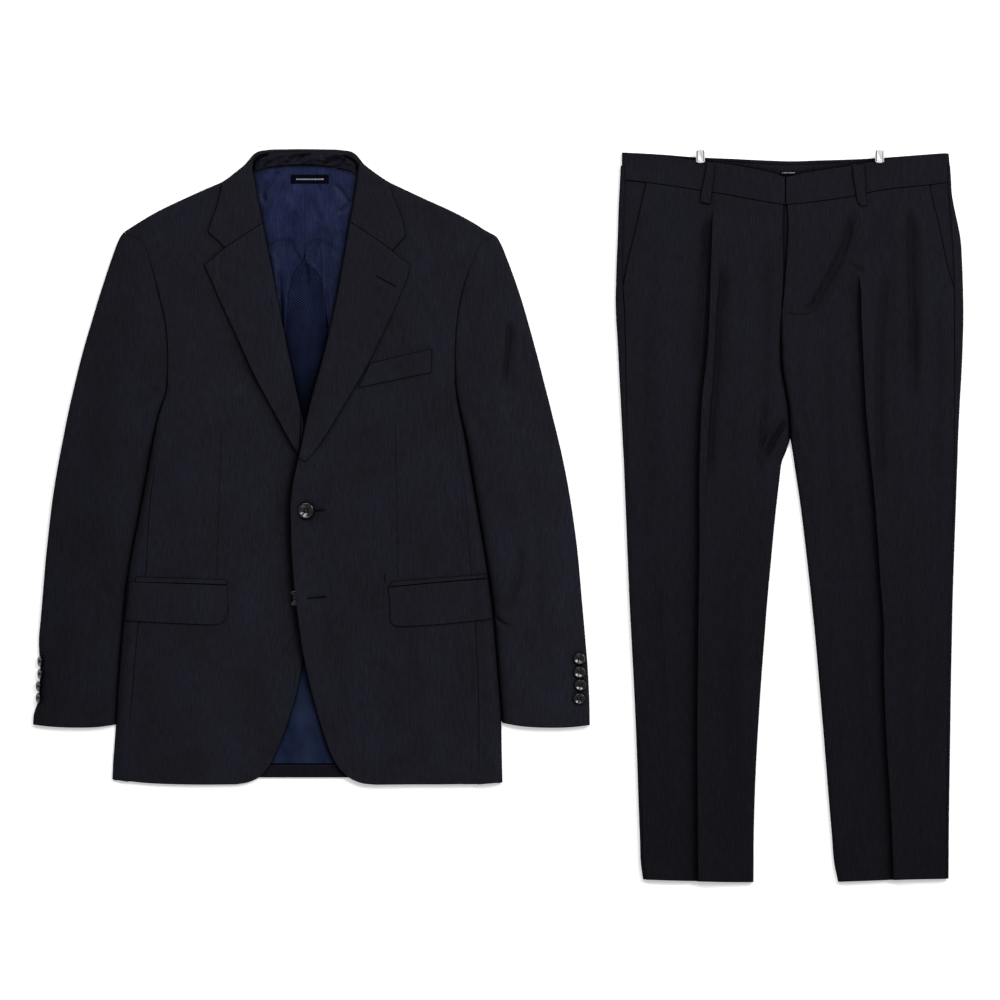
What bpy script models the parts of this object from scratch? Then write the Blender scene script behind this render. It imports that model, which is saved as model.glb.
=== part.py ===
"""A two-piece suit laid flat, face up: a two-button jacket and, beside it, its trousers.

Left and right are the wearer's, so the left pieces lie at +X. The collar and the waistband point to +Y,
and the floor is z = 0. Each garment is drawn in its own millimetres: x from its centre line and y up from
its hem.
"""

from collections import namedtuple
import math

import bmesh
import bpy
import numpy as np

MM = 0.001
GAP = 0.3  # between two pieces that are sewn together or lie on each other

# Where each garment's centre line meets its hem, in the shared frame.
JACKET_AT = (-247.75, -343.55)
TROUSERS_AT = (375.75, -474.95)

# Walls of cloth with what is sewn inside them.
CLOTH = 2.0
BACK_CLOTH = 2.2
STAND_CLOTH = 2.0
LINING = 1.2
TRIM = 1.4
LOOP_CLOTH = 2.0
LABEL_CLOTH = 0.6

# Heights of the upper face of each layer of the jacket.
BACK_TOP = BACK_CLOTH
LINING_TOP = BACK_TOP + GAP + LINING
RIGHT_FRONT_TOP = LINING_TOP + GAP + CLOTH
LEFT_FRONT_TOP = RIGHT_FRONT_TOP + GAP + CLOTH
FRONT_TOP = {"right": RIGHT_FRONT_TOP, "left": LEFT_FRONT_TOP}
LAPEL_TOP = {side: top + GAP + CLOTH for side, top in FRONT_TOP.items()}
SLEEVE_TOP = 8.0
FOLD = 8.0  # how far in from a folded edge the cloth reaches its full height
BACK_SEAM = 52.0  # the side panel's reach round the fold, along the floor
RIM = 1.3  # room on the floor between an arched wall's foot and the flat piece inside it
SIGN = {"right": -1, "left": 1}
SMOOTH = math.radians(35)  # faces that meet at less than this are shaded as one surface

# One point of a folded wall's section: the outer face, then the inner one. x counts in from the folded edge.
Turn = namedtuple("Turn", "x z under_x under_z")

# Sleeve: the armhole and forearm side, then the outer fold, as distances from the centre line.
Sleeve = namedtuple("Sleeve", "y inner outer")
SLEEVES = {
    "right": [
        Sleeve(711, 238.5, 241.5),
        Sleeve(702, 217.0, 245.6),
        Sleeve(690, 211.0, 250.0),
        Sleeve(676, 205.5, 254.9),
        Sleeve(650, 197.6, 263.6),
        Sleeve(624, 191.4, 272.0),
        Sleeve(572, 182.6, 287.4),
        Sleeve(520, 181.9, 301.0),
        Sleeve(468, 194.6, 312.9),
        Sleeve(416, 205.0, 322.7),
        Sleeve(364, 215.4, 331.4),
        Sleeve(312, 225.2, 337.2),
        Sleeve(260, 233.6, 342.3),
        Sleeve(208, 238.9, 347.0),
        Sleeve(176, 241.7, 347.6),
        Sleeve(156, 243.4, 347.8),
        Sleeve(98, 247.9, 349.7),
        Sleeve(90, 248.5, 355.2),
        Sleeve(72, 249.8, 357.0),
    ],
    "left": [
        Sleeve(706, 243.0, 246.6),
        Sleeve(702, 237.0, 249.2),
        Sleeve(696, 229.0, 251.5),
        Sleeve(676, 216.3, 260.2),
        Sleeve(650, 206.0, 269.8),
        Sleeve(624, 199.2, 278.5),
        Sleeve(572, 192.8, 293.3),
        Sleeve(520, 192.4, 306.9),
        Sleeve(468, 200.0, 319.9),
        Sleeve(416, 211.2, 332.5),
        Sleeve(364, 221.3, 342.0),
        Sleeve(312, 229.4, 349.4),
        Sleeve(260, 236.5, 354.6),
        Sleeve(208, 242.8, 359.2),
        Sleeve(156, 247.6, 363.7),
        Sleeve(104, 251.2, 366.5),
        Sleeve(72, 252.8, 367.4),
    ],
}
CUFF_BOW = 4.0  # how far the middle of a cuff's hem hangs below its ends

# Side panel: the body's folded edge, and how far in from it the seam to the front lies.
SidePanel = namedtuple("SidePanel", "y edge seam")
SIDE_PANELS = {
    "right": [
        SidePanel(500, 184.5, 9.5),
        SidePanel(442, 199.3, 9.5),
        SidePanel(390, 209.7, 9.5),
        SidePanel(343, 219.0, 14.0),
        SidePanel(273, 231.0, 21.0),
        SidePanel(214, 238.0, 20.0),
        SidePanel(166, 242.0, 19.0),
        SidePanel(103, 247.0, 19.0),
        SidePanel(70, 250.0, 19.0),
        SidePanel(26, 252.0, 20.0),
        SidePanel(3, 253.2, 20.0),
    ],
    "left": [
        SidePanel(500, 193.0, 9.5),
        SidePanel(442, 204.8, 9.5),
        SidePanel(390, 216.0, 13.0),
        SidePanel(343, 224.3, 18.0),
        SidePanel(273, 234.6, 24.0),
        SidePanel(214, 242.0, 24.0),
        SidePanel(166, 246.6, 27.0),
        SidePanel(103, 250.8, 28.0),
        SidePanel(70, 252.8, 30.0),
        SidePanel(26, 253.2, 32.0),
        SidePanel(0, 253.8, 33.5),
    ],
}

# Front: a section runs from the armhole or side seam to the roll line or front edge. Inner x counts towards
# the wearer's left. The first ones curve down over the shoulder.
Front = namedtuple("Front", "outer_y inner_x inner_y drop")
FRONTS = {
    "right": [
        Front(711.0, -74, 792, 2.7),
        Front(708.5, -74, 789, 1.0),
        Front(702.0, -73, 783, 0.0),
        Front(690.0, -70, 774, 0.0),
        Front(676.0, -66, 763, 0.0),
        Front(650.0, -62, 746, 0.0),
        Front(624.0, -58, 728, 0.0),
        Front(572.0, -45, 665, 0.0),
        Front(520.0, -33, 600, 0.0),
        Front(500.0, -21, 535, 0.0),
        Front(442.0, -9, 478, 0.0),
        Front(390.0, 3, 432, 0.0),
        Front(343.0, 11, 370, 0.0),
        Front(273.0, 12, 300, 0.0),
        Front(214.0, 6, 232, 0.0),
        Front(166.0, -1, 180, 0.0),
        Front(103.0, -10, 130, 0.0),
        Front(70.0, -26, 70, 0.0),
        Front(26.0, -41, 36, 0.0),
        Front(12.0, -52, 15, 0.0),
        Front(4.0, -64, 2, 0.0),
        Front(-2.0, -80, -5, 0.0),
    ],
    "left": [
        Front(705.5, 74, 791, 5.0),
        Front(703.5, 74, 788, 2.0),
        Front(696.0, 72, 782, 0.0),
        Front(676.0, 65, 763, 0.0),
        Front(650.0, 60, 740, 0.0),
        Front(624.0, 55, 717, 0.0),
        Front(572.0, 46, 672, 0.0),
        Front(520.0, 35, 618, 0.0),
        Front(500.0, 23, 568, 0.0),
        Front(442.0, 8, 507, 0.0),
        Front(390.0, -4, 456, 0.0),
        Front(343.0, -16, 403, 0.0),
        Front(295.0, -21, 354, 0.0),
        Front(273.0, -20, 305, 0.0),
        Front(256.0, -18, 268, 0.0),
        Front(240.0, -16, 251, 0.0),
        Front(222.0, -13, 223, 0.0),
        Front(206.0, -11, 206, 0.0),
        Front(166.0, -5, 157, 0.0),
        Front(103.0, 7, 112, 0.0),
        Front(70.0, 18, 68, 0.0),
        Front(26.0, 35, 27, 0.0),
        Front(10.0, 50, 7, 0.0),
        Front(2.0, 66, -3, 0.0),
        Front(-3.0, 84, -5, 0.0),
    ],
}
FRONT_SPANS = (14, 60)  # columns at these distances in from the inner edge, then evenly spread
LIFTED = (15, 16)  # rows of the left front that the lower button pushes up
LIFT = 3.4

# Turned lapel: from the roll line to its outer edge, the gorge seam first.
Lapel = namedtuple("Lapel", "roll_x roll_y edge_x edge_y")
LAPELS = {
    "right": [
        Lapel(-58.5, 725.0, -106.5, 691.5),
        Lapel(-54.0, 707.0, -133.0, 669.5),
        Lapel(-51.0, 692.0, -128.0, 656.0),
        Lapel(-46.0, 665.0, -116.0, 636.0),
        Lapel(-37.0, 622.0, -95.0, 578.0),
        Lapel(-28.0, 576.0, -73.0, 533.0),
        Lapel(-19.0, 530.0, -52.0, 497.0),
        Lapel(-12.0, 495.0, -36.0, 463.0),
        Lapel(-8.5, 468.0, -24.0, 443.0),
        Lapel(-10.0, 447.0, -16.0, 430.0),
    ],
    "left": [
        Lapel(60.0, 725.0, 110.6, 687.0),
        Lapel(53.0, 706.0, 133.5, 668.5),
        Lapel(50.0, 692.0, 130.0, 655.0),
        Lapel(45.0, 666.0, 124.0, 636.0),
        Lapel(37.0, 628.0, 108.0, 600.0),
        Lapel(28.0, 590.0, 90.0, 561.0),
        Lapel(19.0, 552.0, 74.0, 526.0),
        Lapel(11.0, 517.0, 52.0, 489.0),
        Lapel(2.0, 481.0, 28.0, 452.0),
        Lapel(-6.0, 446.0, 8.0, 426.0),
        Lapel(-12.5, 418.0, -7.0, 410.0),
    ],
}

# Collar: the leaf from its roll to its edge. Past the shoulder the leaf turns down to the floor.
Leaf = namedtuple("Leaf", "roll_x roll_y edge_x edge_y turned")
LEAVES = {
    "right": [
        Leaf(-59.0, 725.8, -107.2, 692.3, 0.0),
        Leaf(-60.0, 733.0, -128.5, 712.5, 0.0),
        Leaf(-63.0, 754.0, -119.5, 741.0, 0.0),
        Leaf(-66.5, 773.0, -113.5, 767.0, 0.0),
        Leaf(-68.0, 779.0, -112.2, 776.2, 0.0),
        Leaf(-69.0, 786.0, -106.0, 781.3, 1.0),
        Leaf(-70.5, 798.0, -85.0, 796.0, 1.0),
    ],
    "left": [
        Leaf(60.5, 725.8, 111.2, 687.8, 0.0),
        Leaf(61.0, 733.0, 128.0, 708.0, 0.0),
        Leaf(62.5, 754.0, 123.0, 735.0, 0.0),
        Leaf(64.5, 771.0, 115.5, 766.0, 0.0),
        Leaf(65.5, 777.0, 111.5, 773.6, 0.0),
        Leaf(66.3, 785.0, 102.5, 780.0, 1.0),
        Leaf(67.0, 796.0, 79.0, 795.0, 1.0),
    ],
}
# Behind the neck the collar is folded flat: its crest, and the line where the stand meets the lining.
Crest = namedtuple("Crest", "x seam_y stand_y crest_y")
CRESTS = [
    Crest(-68.5, 787.0, 800.0, 803.0),
    Crest(-66.0, 790.0, 807.5, 813.5),
    Crest(-54.0, 796.5, 814.5, 819.2),
    Crest(-28.0, 799.5, 815.5, 819.8),
    Crest(0.0, 800.5, 816.0, 820.0),
    Crest(28.0, 799.0, 815.5, 819.8),
    Crest(46.0, 795.5, 814.5, 819.2),
    Crest(60.0, 788.5, 807.5, 813.5),
    Crest(64.5, 784.0, 798.0, 803.0),
]
CREST_TOP = 10.5
STAND_FOOT = 5.6  # height of the stand's upper face at the lining
UNDER_LEAF = 22.0  # how far the back of the leaf reaches down under the neck
NAPE_FOLD = [
    Turn(1.0, 9.3, 2.6, 7.9),
    Turn(0.0, 5.2, 2.2, 5.2),
    Turn(1.5, 0.8, 3.2, 2.2),
    Turn(UNDER_LEAF, 0.0, UNDER_LEAF, BACK_CLOTH),
]
# Where the leaf turns down, its points from roll to edge: their share of its height, and how far in the
# curve starts.
LEAF_HEIGHTS = (1.0, 1.0, 0.8, 0.4, 0.0)
LEAF_ROUND = 2.0

# Back: a section runs from the armhole or side seam, past the line below the neck point, to the centre seam.
Back = namedtuple("Back", "outer_y neck_x neck_y centre_y")
BACKS = {
    "right": [
        Back(709.0, 108.0, 773.0, 796.0),
        Back(702.0, 104.0, 760.0, 772.0),
        Back(690.0, 102.0, 742.0, 752.0),
        Back(676.0, 100.0, 720.0, 730.0),
        Back(650.0, 97.0, 680.0, 685.0),
        Back(624.0, 95.0, 640.0, 640.0),
        Back(572.0, 92.0, 572.0, 572.0),
        Back(520.0, 90.0, 520.0, 520.0),
        Back(500.0, 70.0, 500.0, 500.0),
        Back(442.0, 72.0, 442.0, 442.0),
        Back(390.0, 80.0, 390.0, 390.0),
        Back(273.0, 90.0, 273.0, 273.0),
        Back(103.0, 98.0, 103.0, 103.0),
        Back(3.4, 100.0, 3.4, 3.4),
    ],
    "left": [
        Back(704.0, 108.0, 770.0, 796.0),
        Back(696.0, 104.0, 756.0, 772.0),
        Back(676.0, 100.0, 720.0, 730.0),
        Back(650.0, 97.0, 680.0, 685.0),
        Back(624.0, 95.0, 640.0, 640.0),
        Back(572.0, 92.0, 572.0, 572.0),
        Back(520.0, 90.0, 520.0, 520.0),
        Back(500.0, 70.0, 500.0, 500.0),
        Back(442.0, 72.0, 442.0, 442.0),
        Back(390.0, 80.0, 390.0, 390.0),
        Back(273.0, 90.0, 273.0, 273.0),
        Back(103.0, 98.0, 103.0, 103.0),
        Back(3.4, 100.0, 3.4, 3.4),
    ],
}

# Lining of the back. The yoke comes to a point on the centre line, and below it the patterned centre panel
# opens out between two satin ones.
APEX = (-6.0, 674.0)
YOKE_SEAM = [(-100, 684), (-50, 697), (-30, 706), (-20, 703), APEX, (14, 706), (43, 690), (100, 668)]
Arch = namedtuple("Arch", "y right_x left_x")
ARCH = [
    Arch(672, -7.0, -4.5),
    Arch(658, -17.5, 10.0),
    Arch(637, -23.0, 18.0),
    Arch(611, -26.5, 22.0),
    Arch(580, -28.0, 24.0),
    Arch(545, -29.0, 24.0),
]
BESIDE_APEX = (2.4, 2.5)  # how far beside and below the apex the satin panels start
LINING_REACH = 100.0  # half width of the lining at the neck, out under the fronts
Spread = namedtuple("Spread", "y half")
LINING_SKIRT = [Spread(544.7, 95.0), Spread(400.0, 152.0), Spread(21.1, 190.0)]
HEM_FACING = [Spread(20.8, 190.0), Spread(3.4, 190.0)]

# Pockets: corners in order upper front, upper rear, lower rear, lower front.
WELT = [(81.5, 541.5), (161.5, 560.0), (160.8, 529.5), (66.8, 509.6)]
JETS = {
    "right": [(-104.5, 260.4), (-222.0, 263.6), (-222.0, 257.2), (-104.5, 253.9)],
    "left": [(110.4, 258.0), (229.5, 267.0), (231.0, 262.6), (106.0, 251.2)],
}
FLAPS = {
    "right": [(-104.2, 253.4), (-229.0, 256.8), (-230.0, 206.6), (-104.2, 202.0)],
    "left": [(105.4, 250.8), (233.0, 262.0), (235.5, 209.0), (107.5, 199.4)],
}
FLAP_CORNER = 13.0
CORNER_STEPS = 4

# Buttons: centre on the garment. The right cuff's need only their height, since they lie on its fold.
FRONT_BUTTON = 21.0
FRONT_BUTTON_DEEP = 4.0
UPPER_BUTTON = (-1.4, 350.3)
LOWER_BUTTON = (-16.0, 236.6)
LOWER_BUTTON_DEEP = 2.8
CUFF_BUTTON = 15.0
CUFF_BUTTON_DEEP = 3.0
CUFF_BUTTONS = {
    "left": [(353.2, 158.1), (353.2, 140.4), (354.2, 124.8), (352.7, 106.6)],
    "right": [154.4, 138.2, 122.4, 106.9],
}
RIGHT_CUFF_TILT = math.radians(50)  # those of the right sleeve lie on its outer fold
BUTTON_SIDES = 20
# Half section of a button from the middle of its underside to the middle of its dished face.
Rim = namedtuple("Rim", "radius depth")
BUTTON_SECTION = [
    Rim(0.00, 0.00),
    Rim(0.55, 0.00),
    Rim(0.94, 0.30),
    Rim(1.00, 0.62),
    Rim(0.92, 1.00),
    Rim(0.76, 1.00),
    Rim(0.62, 0.76),
    Rim(0.00, 0.66),
]

LABEL = (-21.5, 775.2, 27.5, 786.6)  # low x, low y, high x, high y
TROUSER_LABEL = (-9.0, 911.0, 12.0, 923.0)

# Trousers: the outer fold and the inner edge of each leg. Down to the crotch the inner edges meet at the
# fly.
LEG_BACK_TOP = BACK_CLOTH
LEG_TOP = 8.0
CREASE = 2.2  # height of the pressed crease above the leg, solid as two layers pressed together
CREASE_HALF = 13.0
CREASE_ROWS = 4  # rows of LEGS over which the crease rises below the waistband
Leg = namedtuple("Leg", "outer_y inner_y outer inner back_shows crease")
LEGS = {
    "right": [
        Leg(911.0, 879.6, 217.3, 3.8, 4.0, 98.0),
        Leg(878.0, 857.0, 219.1, 2.6, 4.0, 98.0),
        Leg(838.0, 832.0, 220.3, 2.6, 4.5, 98.0),
        Leg(807.0, 807.0, 221.5, 3.7, 6.0, 98.0),
        Leg(773.0, 773.0, 222.6, 5.0, 9.0, 99.5),
        Leg(741.0, 741.0, 222.8, 6.6, 11.0, 101.4),
        Leg(703.0, 703.0, 220.5, 7.9, 8.0, 104.0),
        Leg(651.0, 651.0, 217.9, 7.9, 6.0, 107.0),
        Leg(612.0, 612.0, 216.0, -0.6, 5.0, 110.5),
        Leg(585.0, 590.0, 214.5, -3.2, 4.5, 112.5),
        Leg(566.0, 571.0, 213.4, -2.6, 4.0, 113.2),
        Leg(547.0, 547.0, 212.4, 6.0, 4.0, 114.0),
        Leg(495.0, 495.0, 210.5, 13.0, 4.0, 115.0),
        Leg(417.0, 417.0, 207.2, 20.9, 4.0, 116.4),
        Leg(339.0, 339.0, 203.7, 27.9, 4.0, 117.1),
        Leg(235.0, 235.0, 198.2, 35.4, 4.0, 117.4),
        Leg(131.0, 131.0, 194.2, 41.2, 4.0, 117.5),
        Leg(60.0, 60.0, 191.5, 43.0, 4.0, 117.5),
        Leg(1.0, -1.5, 188.6, 43.3, 4.0, 117.5),
    ],
    "left": [
        Leg(908.0, 879.6, 213.8, -3.0, 4.0, 88.0),
        Leg(878.0, 857.0, 216.4, -1.9, 4.0, 88.0),
        Leg(838.0, 832.0, 224.5, -1.9, 9.0, 89.0),
        Leg(807.0, 807.0, 227.1, -3.0, 11.0, 90.5),
        Leg(773.0, 773.0, 228.5, -4.3, 11.5, 91.5),
        Leg(741.0, 741.0, 229.0, -5.9, 12.0, 92.8),
        Leg(703.0, 703.0, 228.3, -7.2, 12.0, 96.5),
        Leg(651.0, 651.0, 226.1, -7.2, 9.0, 101.0),
        Leg(612.0, 612.0, 224.0, 1.3, 6.0, 104.5),
        Leg(585.0, 590.0, 222.6, 3.9, 4.5, 108.0),
        Leg(566.0, 571.0, 221.8, 3.3, 4.0, 110.5),
        Leg(547.0, 547.0, 221.3, 7.8, 4.0, 113.0),
        Leg(495.0, 495.0, 219.4, 16.1, 4.0, 117.5),
        Leg(417.0, 417.0, 216.6, 25.8, 4.0, 119.6),
        Leg(339.0, 339.0, 214.2, 33.8, 4.0, 122.5),
        Leg(235.0, 235.0, 212.6, 43.4, 4.0, 128.0),
        Leg(131.0, 131.0, 210.9, 52.1, 4.0, 133.2),
        Leg(60.0, 60.0, 210.0, 58.2, 4.0, 136.6),
        Leg(3.0, -1.0, 209.6, 64.0, 4.0, 139.0),
    ],
}
CROTCH_ROW = 10  # from this row of LEGS down the inner edge is a fold of its own
UNDER_LEG = LEG_TOP - CLOTH
FLY_EDGE = [
    Turn(0.0, LEG_TOP, 0.0, UNDER_LEG),
    Turn(1.2, LEG_TOP, 1.2, UNDER_LEG),
    Turn(FOLD, LEG_TOP, FOLD, UNDER_LEG),
]
INNER_FOLD = [
    Turn(0.0, 0.0, CLOTH, 0.0),
    Turn(1.2, 5.0, 1.2 + CLOTH, 3.6),
    Turn(FOLD, LEG_TOP, FOLD, UNDER_LEG),
]
# Slant pocket: its mouth runs from the waistband to the side seam, and its bearer lies lower than the leg.
Mouth = namedtuple("Mouth", "top_x top_y low_x low_y")
MOUTHS = {"right": Mouth(183.7, 906.0, 213.0, 773.0), "left": Mouth(184.0, 904.0, 214.5, 773.0)}
BEARER_DROP = 1.6
BEARER_ROWS = 4  # rows of LEGS that the bearer spans

# Waistband: its front halves between the upper edge and the seam to the legs, and its back.
Band = namedtuple("Band", "x top seam")
WAISTBANDS = {
    "right": [
        Band(214.9, 946.8, 911.4),
        Band(169.0, 943.6, 905.0),
        Band(118.0, 936.4, 897.2),
        Band(80.0, 931.8, 891.3),
        Band(40.0, 925.2, 885.3),
        Band(3.9, 917.4, 880.0),
    ],
    "left": [
        Band(210.0, 945.6, 908.0),
        Band(186.0, 943.8, 904.6),
        Band(147.0, 940.4, 899.4),
        Band(113.0, 935.0, 895.0),
        Band(67.0, 927.6, 888.9),
        Band(30.0, 921.6, 884.0),
        Band(-3.1, 917.4, 880.0),
    ],
}
BandBack = namedtuple("BandBack", "x top")
WAISTBAND_BACK = [
    BandBack(-211.5, 947.8),
    BandBack(-169.0, 945.0),
    BandBack(-118.0, 941.0),
    BandBack(-70.0, 939.0),
    BandBack(-23.0, 936.8),
    BandBack(4.0, 935.8),
    BandBack(39.0, 936.8),
    BandBack(82.0, 938.2),
    BandBack(130.0, 940.6),
    BandBack(170.0, 944.0),
    BandBack(206.5, 946.6),
]
BAND_BACK_SEAM = 904.0
BAND_WALL = 2.6
BAND_EDGE = [(0.0, 3.2), (1.5, 6.0), (FOLD, LEG_TOP)]  # distance in from the folded end, height
BELT_LOOP = 12.6
BELT_LOOPS = {
    "right": [(-100.2, 934.6), (-103.6, 910.0), (-106.5, 880.5)],
    "left": [(91.0, 931.4), (94.2, 908.0), (98.5, 879.0)],
}
LOOP_TOP = LEG_TOP + GAP + 2.4  # clear of the seam's pressed edge

# Grips of the clip hanger on the waistband, seen from above.
CLIP = (11.6, 15.6)
CLIPS = {"right": (-112.6, 941.6), "left": (119.4, 941.4)}
CLIP_WALL = 1.0
CLIP_BEND = (4.0, 1.2)  # below the clip's upper edge: where it rises off the band, and where it turns down

Finish = namedtuple("Finish", "colour roughness metallic")
FINISHES = {
    "suiting": Finish((0.012, 0.013, 0.020), 0.85, 0.0),
    "satin": Finish((0.018, 0.030, 0.110), 0.40, 0.0),
    "patterned_lining": Finish((0.012, 0.020, 0.075), 0.50, 0.0),
    "label": Finish((0.006, 0.008, 0.020), 0.60, 0.0),
    "button": Finish((0.010, 0.010, 0.012), 0.18, 0.0),
    "steel": Finish((0.60, 0.60, 0.62), 0.25, 1.0),
}


def clear_scene():
    """Empties the scene."""
    for old in list(bpy.data.objects):
        bpy.data.objects.remove(old, do_unlink=True)


def material(name):
    """The named finish as a Principled material, made once."""
    found = bpy.data.materials.get(name)
    if found:
        return found
    finish = FINISHES[name]
    made = bpy.data.materials.new(name)
    made.use_nodes = True
    shader = made.node_tree.nodes["Principled BSDF"]
    shader.inputs["Base Color"].default_value = (*finish.colour, 1.0)
    shader.inputs["Roughness"].default_value = finish.roughness
    shader.inputs["Metallic"].default_value = finish.metallic
    return made


def add_mesh(name, points, faces, finish, at):
    """One object from points in a garment's millimetres, with its faces turned outwards."""
    offset = np.array([at[0], at[1], 0.0])
    mesh = bpy.data.meshes.new(name)
    mesh.from_pydata(((np.asarray(points) + offset) * MM).tolist(), [], faces)
    shell = bmesh.new()
    shell.from_mesh(mesh)
    bmesh.ops.recalc_face_normals(shell, faces=shell.faces)
    shell.to_mesh(mesh)
    shell.free()
    mesh.shade_smooth()
    mesh.set_sharp_from_angle(angle=SMOOTH)
    mesh.materials.append(material(finish))
    made = bpy.data.objects.new(name, mesh)
    bpy.context.scene.collection.objects.link(made)
    return made


def wall(name, outer, inner, finish, at):
    """A closed wall between two lattices of points, (rows, columns, 3) each."""
    outer, inner = np.asarray(outer, float), np.asarray(inner, float)
    rows, columns = outer.shape[:2]
    top = np.arange(rows * columns).reshape(rows, columns)
    under = top + rows * columns
    faces = []
    for i in range(rows - 1):
        for j in range(columns - 1):
            square = [(i, j), (i, j + 1), (i + 1, j + 1), (i + 1, j)]
            faces.append([int(top[place]) for place in square])
            faces.append([int(under[place]) for place in reversed(square)])
    rim = [(0, j) for j in range(columns)]
    rim += [(i, columns - 1) for i in range(1, rows)]
    rim += [(rows - 1, j) for j in range(columns - 2, -1, -1)]
    rim += [(i, 0) for i in range(rows - 2, 0, -1)]
    for a, b in zip(rim, rim[1:] + rim[:1]):
        faces.append([int(top[a]), int(under[a]), int(under[b]), int(top[b])])
    points = np.concatenate([outer.reshape(-1, 3), inner.reshape(-1, 3)])
    return add_mesh(name, points, faces, finish, at)


def level_wall(name, plan, top, thick, finish, at):
    """A wall over a lattice of (x, y) points. Its upper face's height is a number or a lattice of them."""
    plan = np.asarray(plan, float)
    heights = np.broadcast_to(np.asarray(top, float), plan.shape[:2])
    outer = np.dstack([plan, heights])
    inner = np.dstack([plan, heights - thick])
    return wall(name, outer, inner, finish, at)


def along(path, spans):
    """Points along a path of control points, with the stated number of steps on each of its spans."""
    path = np.asarray(path, float)
    points = [path[0]]
    for start, end, steps in zip(path, path[1:], spans):
        points += [start + (end - start) * step / steps for step in range(1, steps + 1)]
    return np.array(points)


def inset_shares(length, insets, evenly):
    """Shares of a length: 0, each inset, and then an even spread to 1."""
    starts = [0.0] + [inset / length for inset in insets]
    return starts + list(np.linspace(starts[-1], 1.0, evenly + 1)[1:])


def fold_profile(top, thick, reach):
    """A folded edge's section, from the upper leaf round to the floor: outer and inner (distance in, height)."""
    angles = np.radians([90, 60, 30, 0, -35, -90])
    half = top / 2
    outer = [(FOLD * (1 - math.cos(a)), half + half * math.sin(a)) for a in angles]
    inner_fold, inner_half = FOLD - thick, half - thick
    inner = [
        (FOLD - inner_fold * math.cos(a), half + inner_half * math.sin(a)) for a in angles
    ]
    return outer + [(reach, 0.0)], inner + [(reach, thick)]


def arch_profile(width, top, thick, middle):
    """A section that stands on the floor at both edges: outer and inner (distance from the inner edge, height)."""
    angles = np.radians([0, 25, 55, 90])
    rise = [(FOLD * (1 - math.cos(a)), top * math.sin(a)) for a in angles]
    inner_rise = [
        (FOLD - (FOLD - thick) * math.cos(a), (top - thick) * math.sin(a)) for a in angles
    ]
    flat = np.linspace(FOLD, width - FOLD, middle + 1)[1:-1]
    outer = rise + [(x, top) for x in flat] + [(width - x, z) for x, z in reversed(rise)]
    inner = inner_rise + [(x, top - thick) for x in flat]
    return outer, inner + [(width - x, z) for x, z in reversed(inner_rise)]


def sleeve_point(row, side, x, hem):
    """A point of a sleeve's row in plan, where the cuff's hem bows down between its ends."""
    share = (x - row.inner) / (row.outer - row.inner)
    return SIGN[side] * x, row.y - hem * 4 * share * (1 - share)


def build_sleeve(side):
    """The topsleeve, arched over the undersleeve that lies on the floor."""
    outer, inner, under = [], [], []
    for row in SLEEVES[side]:
        width = row.outer - row.inner
        drawn = max(width, 3 * FOLD)
        hem = CUFF_BOW if row is SLEEVES[side][-1] else 0.0
        for section, lattice in zip(arch_profile(drawn, SLEEVE_TOP, CLOTH, 4), (outer, inner)):
            places = [(row.inner + x * width / drawn, z) for x, z in section]
            lattice.append([(*sleeve_point(row, side, x, hem), z) for x, z in places])
        if width > 4 * FOLD:
            ends = np.linspace(row.inner + CLOTH + RIM, row.outer - CLOTH - RIM, 5)
            under.append([sleeve_point(row, side, x, hem) for x in ends])
    wall(f"topsleeve_{side}", outer, inner, "suiting", JACKET_AT)
    level_wall(f"undersleeve_{side}", under, BACK_CLOTH, BACK_CLOTH, "suiting", JACKET_AT)


def build_side_panel(side):
    """The side panel: a narrow upper leaf, the body's fold and a wider leaf on the floor."""
    sign, top = SIGN[side], FRONT_TOP[side]
    over, beneath = fold_profile(top, BACK_CLOTH, BACK_SEAM)
    outer, inner = [], []
    for row in SIDE_PANELS[side]:
        for section, height, lattice in ((over, top, outer), (beneath, top - BACK_CLOTH, inner)):
            path = [(row.seam, height)] + section
            lattice.append([(sign * (row.edge - x), row.y, z) for x, z in path])
    wall(f"side_panel_{side}", outer, inner, "suiting", JACKET_AT)


def from_table(table, y, column):
    """A column's value at a height, between the rows on either side."""
    return float(np.interp(-y, [-row.y for row in table], [getattr(row, column) for row in table]))


def front_seam(side, y):
    """How far from the centre line a front's outer edge lies: at the armhole, and below it at the side panel."""
    panels = SIDE_PANELS[side]
    if y > panels[0].y:
        return from_table(SLEEVES[side], y, "inner") - GAP
    return from_table(panels, y, "edge") - from_table(panels, y, "seam") - GAP


def build_front(side):
    """A front from the shoulder to the hem. The left one lies on the right and rises over the lower button."""
    sign = SIGN[side]
    plan, heights = [], []
    for number, row in enumerate(FRONTS[side]):
        start = np.array([row.inner_x, row.inner_y], float)
        end = np.array([sign * front_seam(side, row.outer_y), row.outer_y], float)
        shares = inset_shares(math.dist(start, end), FRONT_SPANS, 3)
        plan.append([start + (end - start) * share for share in shares])
        lifted = side == "left" and number in LIFTED
        rises = [LIFT if lifted and column < 2 else 0.0 for column in range(len(shares))]
        heights.append([FRONT_TOP[side] - row.drop + rise for rise in rises])
    level_wall(f"front_{side}", plan, np.array(heights), CLOTH, "suiting", JACKET_AT)


def build_lapel(side):
    """The facing that shows on the turned lapel, from the roll line to the outer edge."""
    plan = []
    for row in LAPELS[side]:
        plan.append(along([(row.roll_x, row.roll_y), (row.edge_x, row.edge_y)], [4]))
    level_wall(f"facing_{side}", plan, LAPEL_TOP[side], CLOTH, "suiting", JACKET_AT)


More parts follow.
